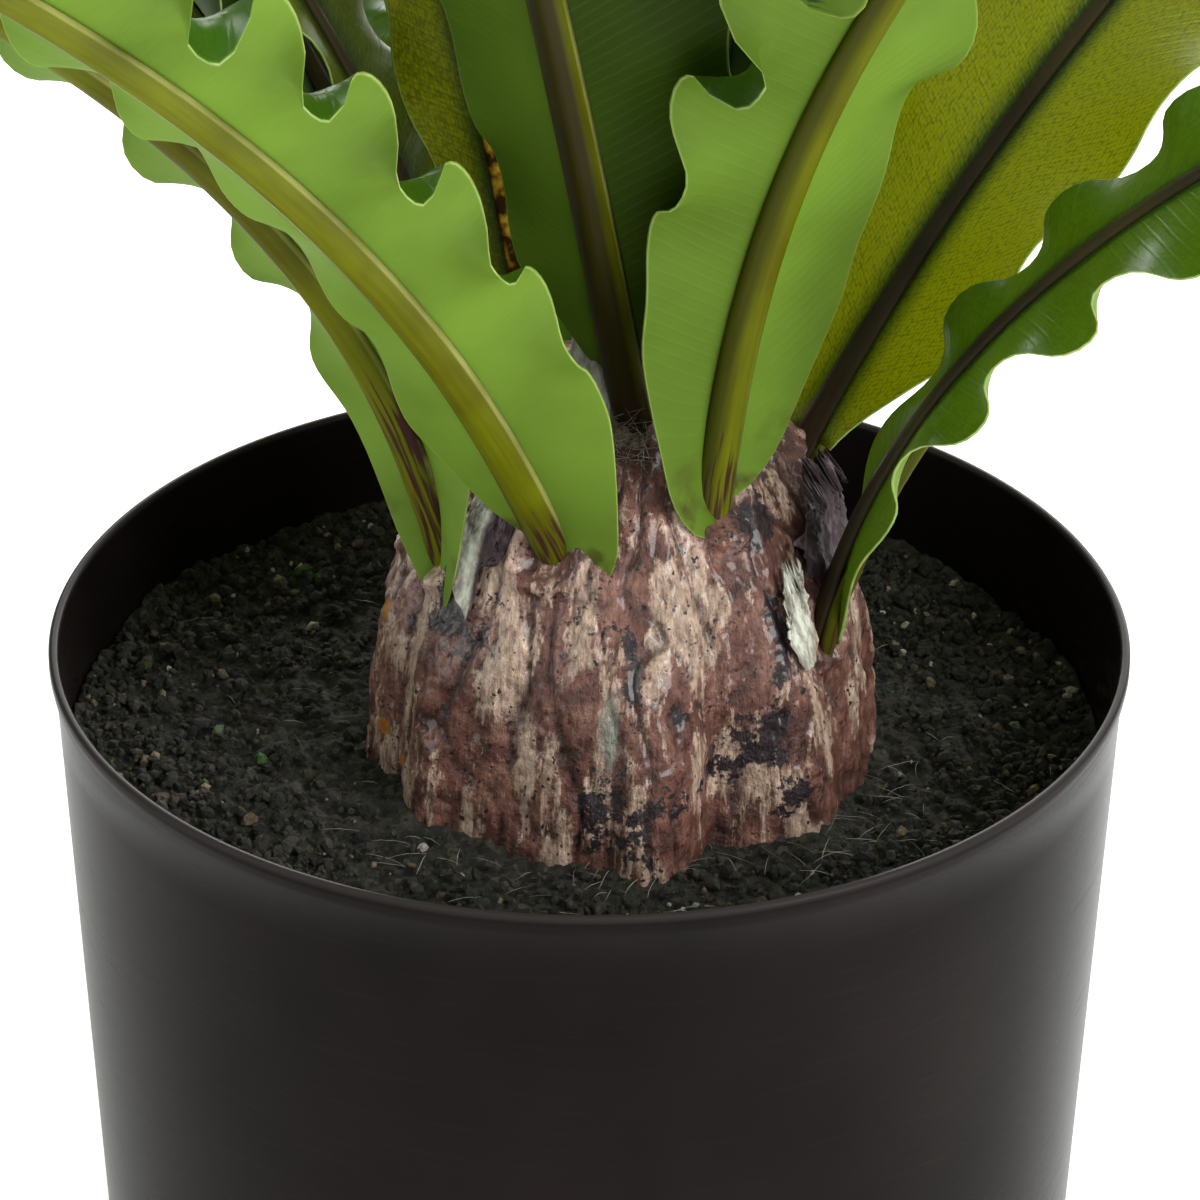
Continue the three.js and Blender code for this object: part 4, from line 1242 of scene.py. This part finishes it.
class FERN_OT_scales(bpy.types.Operator):
    """Builds the dried papery scales at the feet of the fronds"""

    bl_idname = "fern.scales"
    bl_label = "Dried scales"

    def execute(self, context):
        material = scale_material(context.scene.fern_colours)
        rows, columns = 56, 30
        faces, _ = sheet_faces(rows + 1, columns + 1)
        for number, (direction, level, spread, length, flare) in enumerate(SCALES, 1):
            up, across = np.meshgrid(
                np.linspace(0, 1, rows + 1), np.linspace(-1, 1, columns + 1), indexing="ij"
            )
            up, across = up.ravel(), across.ravel()
            # torn outline: the two edges and the tip wander on their own
            torn = 1 + 0.3 * field(
                np.column_stack([np.sign(across) * 4, up * 9, up * 0 + number * 7]), 1.0, 3
            )
            narrow = np.clip(np.sin(math.pi * (0.12 + 0.72 * up)), 0, 1) ** 0.7 * torn
            if number == 3:  # torn away on the right, so that a strip hangs on the left
                narrow = narrow * smooth(0.15 + up * 5)
                narrow = np.where(across > 0, narrow * (0.1 + 0.9 * smooth((up - 0.4) / 0.2)), narrow)
            worn = np.abs(field(np.column_stack([across * 6, up * 0, up * 0 + number * 5]), 1.0, 3))
            tip = 1 - 0.3 * up**2 * worn * 2
            way, height = direction + across * spread * narrow, level + length * up * tip
            sheet = root_point(way, height)
            crumple = 1.1 if number == 1 else 0.5
            crinkle = crumple * field(sheet * [1, 1, 0.4], 3.2, 3, 1.0) + 0.3 * field(sheet, 1.3, 2, 2.0)
            rolled = 1.2 * across**2 * up
            near = root_point(way, height, 1.3 + flare * up**2 + crinkle + rolled)
            far = root_point(way, height, 1.6 + flare * up**2 + crinkle + rolled)
            tint = smooth((0.05 - across) / 0.3) if number == 3 else np.full(len(up), float(number > 1))
            name = f"papery_scale_{number}"
            mesh = make_mesh(name, np.vstack([far, near]), faces, tint=np.concatenate([tint, tint]))
            put(mesh, [material], [f"dried_scale_{number}"] if number < 4 else [])
        return {"FINISHED"}


class FERN_PT_panel(bpy.types.Panel):
    """Buttons and values of the fern"""

    bl_idname = "FERN_PT_panel"
    bl_label = "Birds nest fern"
    bl_space_type = "VIEW_3D"
    bl_region_type = "UI"
    bl_category = "Fern"

    def draw(self, context):
        layout = self.layout
        for operator in OPERATORS:
            layout.operator(operator.bl_idname)
        for group in (context.scene.fern_sizes, context.scene.fern_colours):
            box = layout.box()
            for key in group.bl_rna.properties.keys():
                if key not in ("rna_type", "name"):
                    box.prop(group, key)


OPERATORS = (
    FERN_OT_stage, FERN_OT_pot, FERN_OT_soil, FERN_OT_rootstock, FERN_OT_blades, FERN_OT_ribs, FERN_OT_scales,
)
CLASSES = (FernSizes, FernColours, *OPERATORS, FERN_PT_panel)


def register():
    for item in CLASSES:
        bpy.utils.register_class(item)
    bpy.types.Scene.fern_sizes = bpy.props.PointerProperty(type=FernSizes)
    bpy.types.Scene.fern_colours = bpy.props.PointerProperty(type=FernColours)


def unregister():
    del bpy.types.Scene.fern_colours
    del bpy.types.Scene.fern_sizes
    for item in reversed(CLASSES):
        bpy.utils.unregister_class(item)


def main():
    register()
    bpy.ops.fern.stage()
    bpy.ops.fern.pot()
    bpy.ops.fern.soil()
    bpy.ops.fern.rootstock()
    bpy.ops.fern.blades()
    bpy.ops.fern.ribs()
    bpy.ops.fern.scales()


if __name__ == "__main__":
    main()
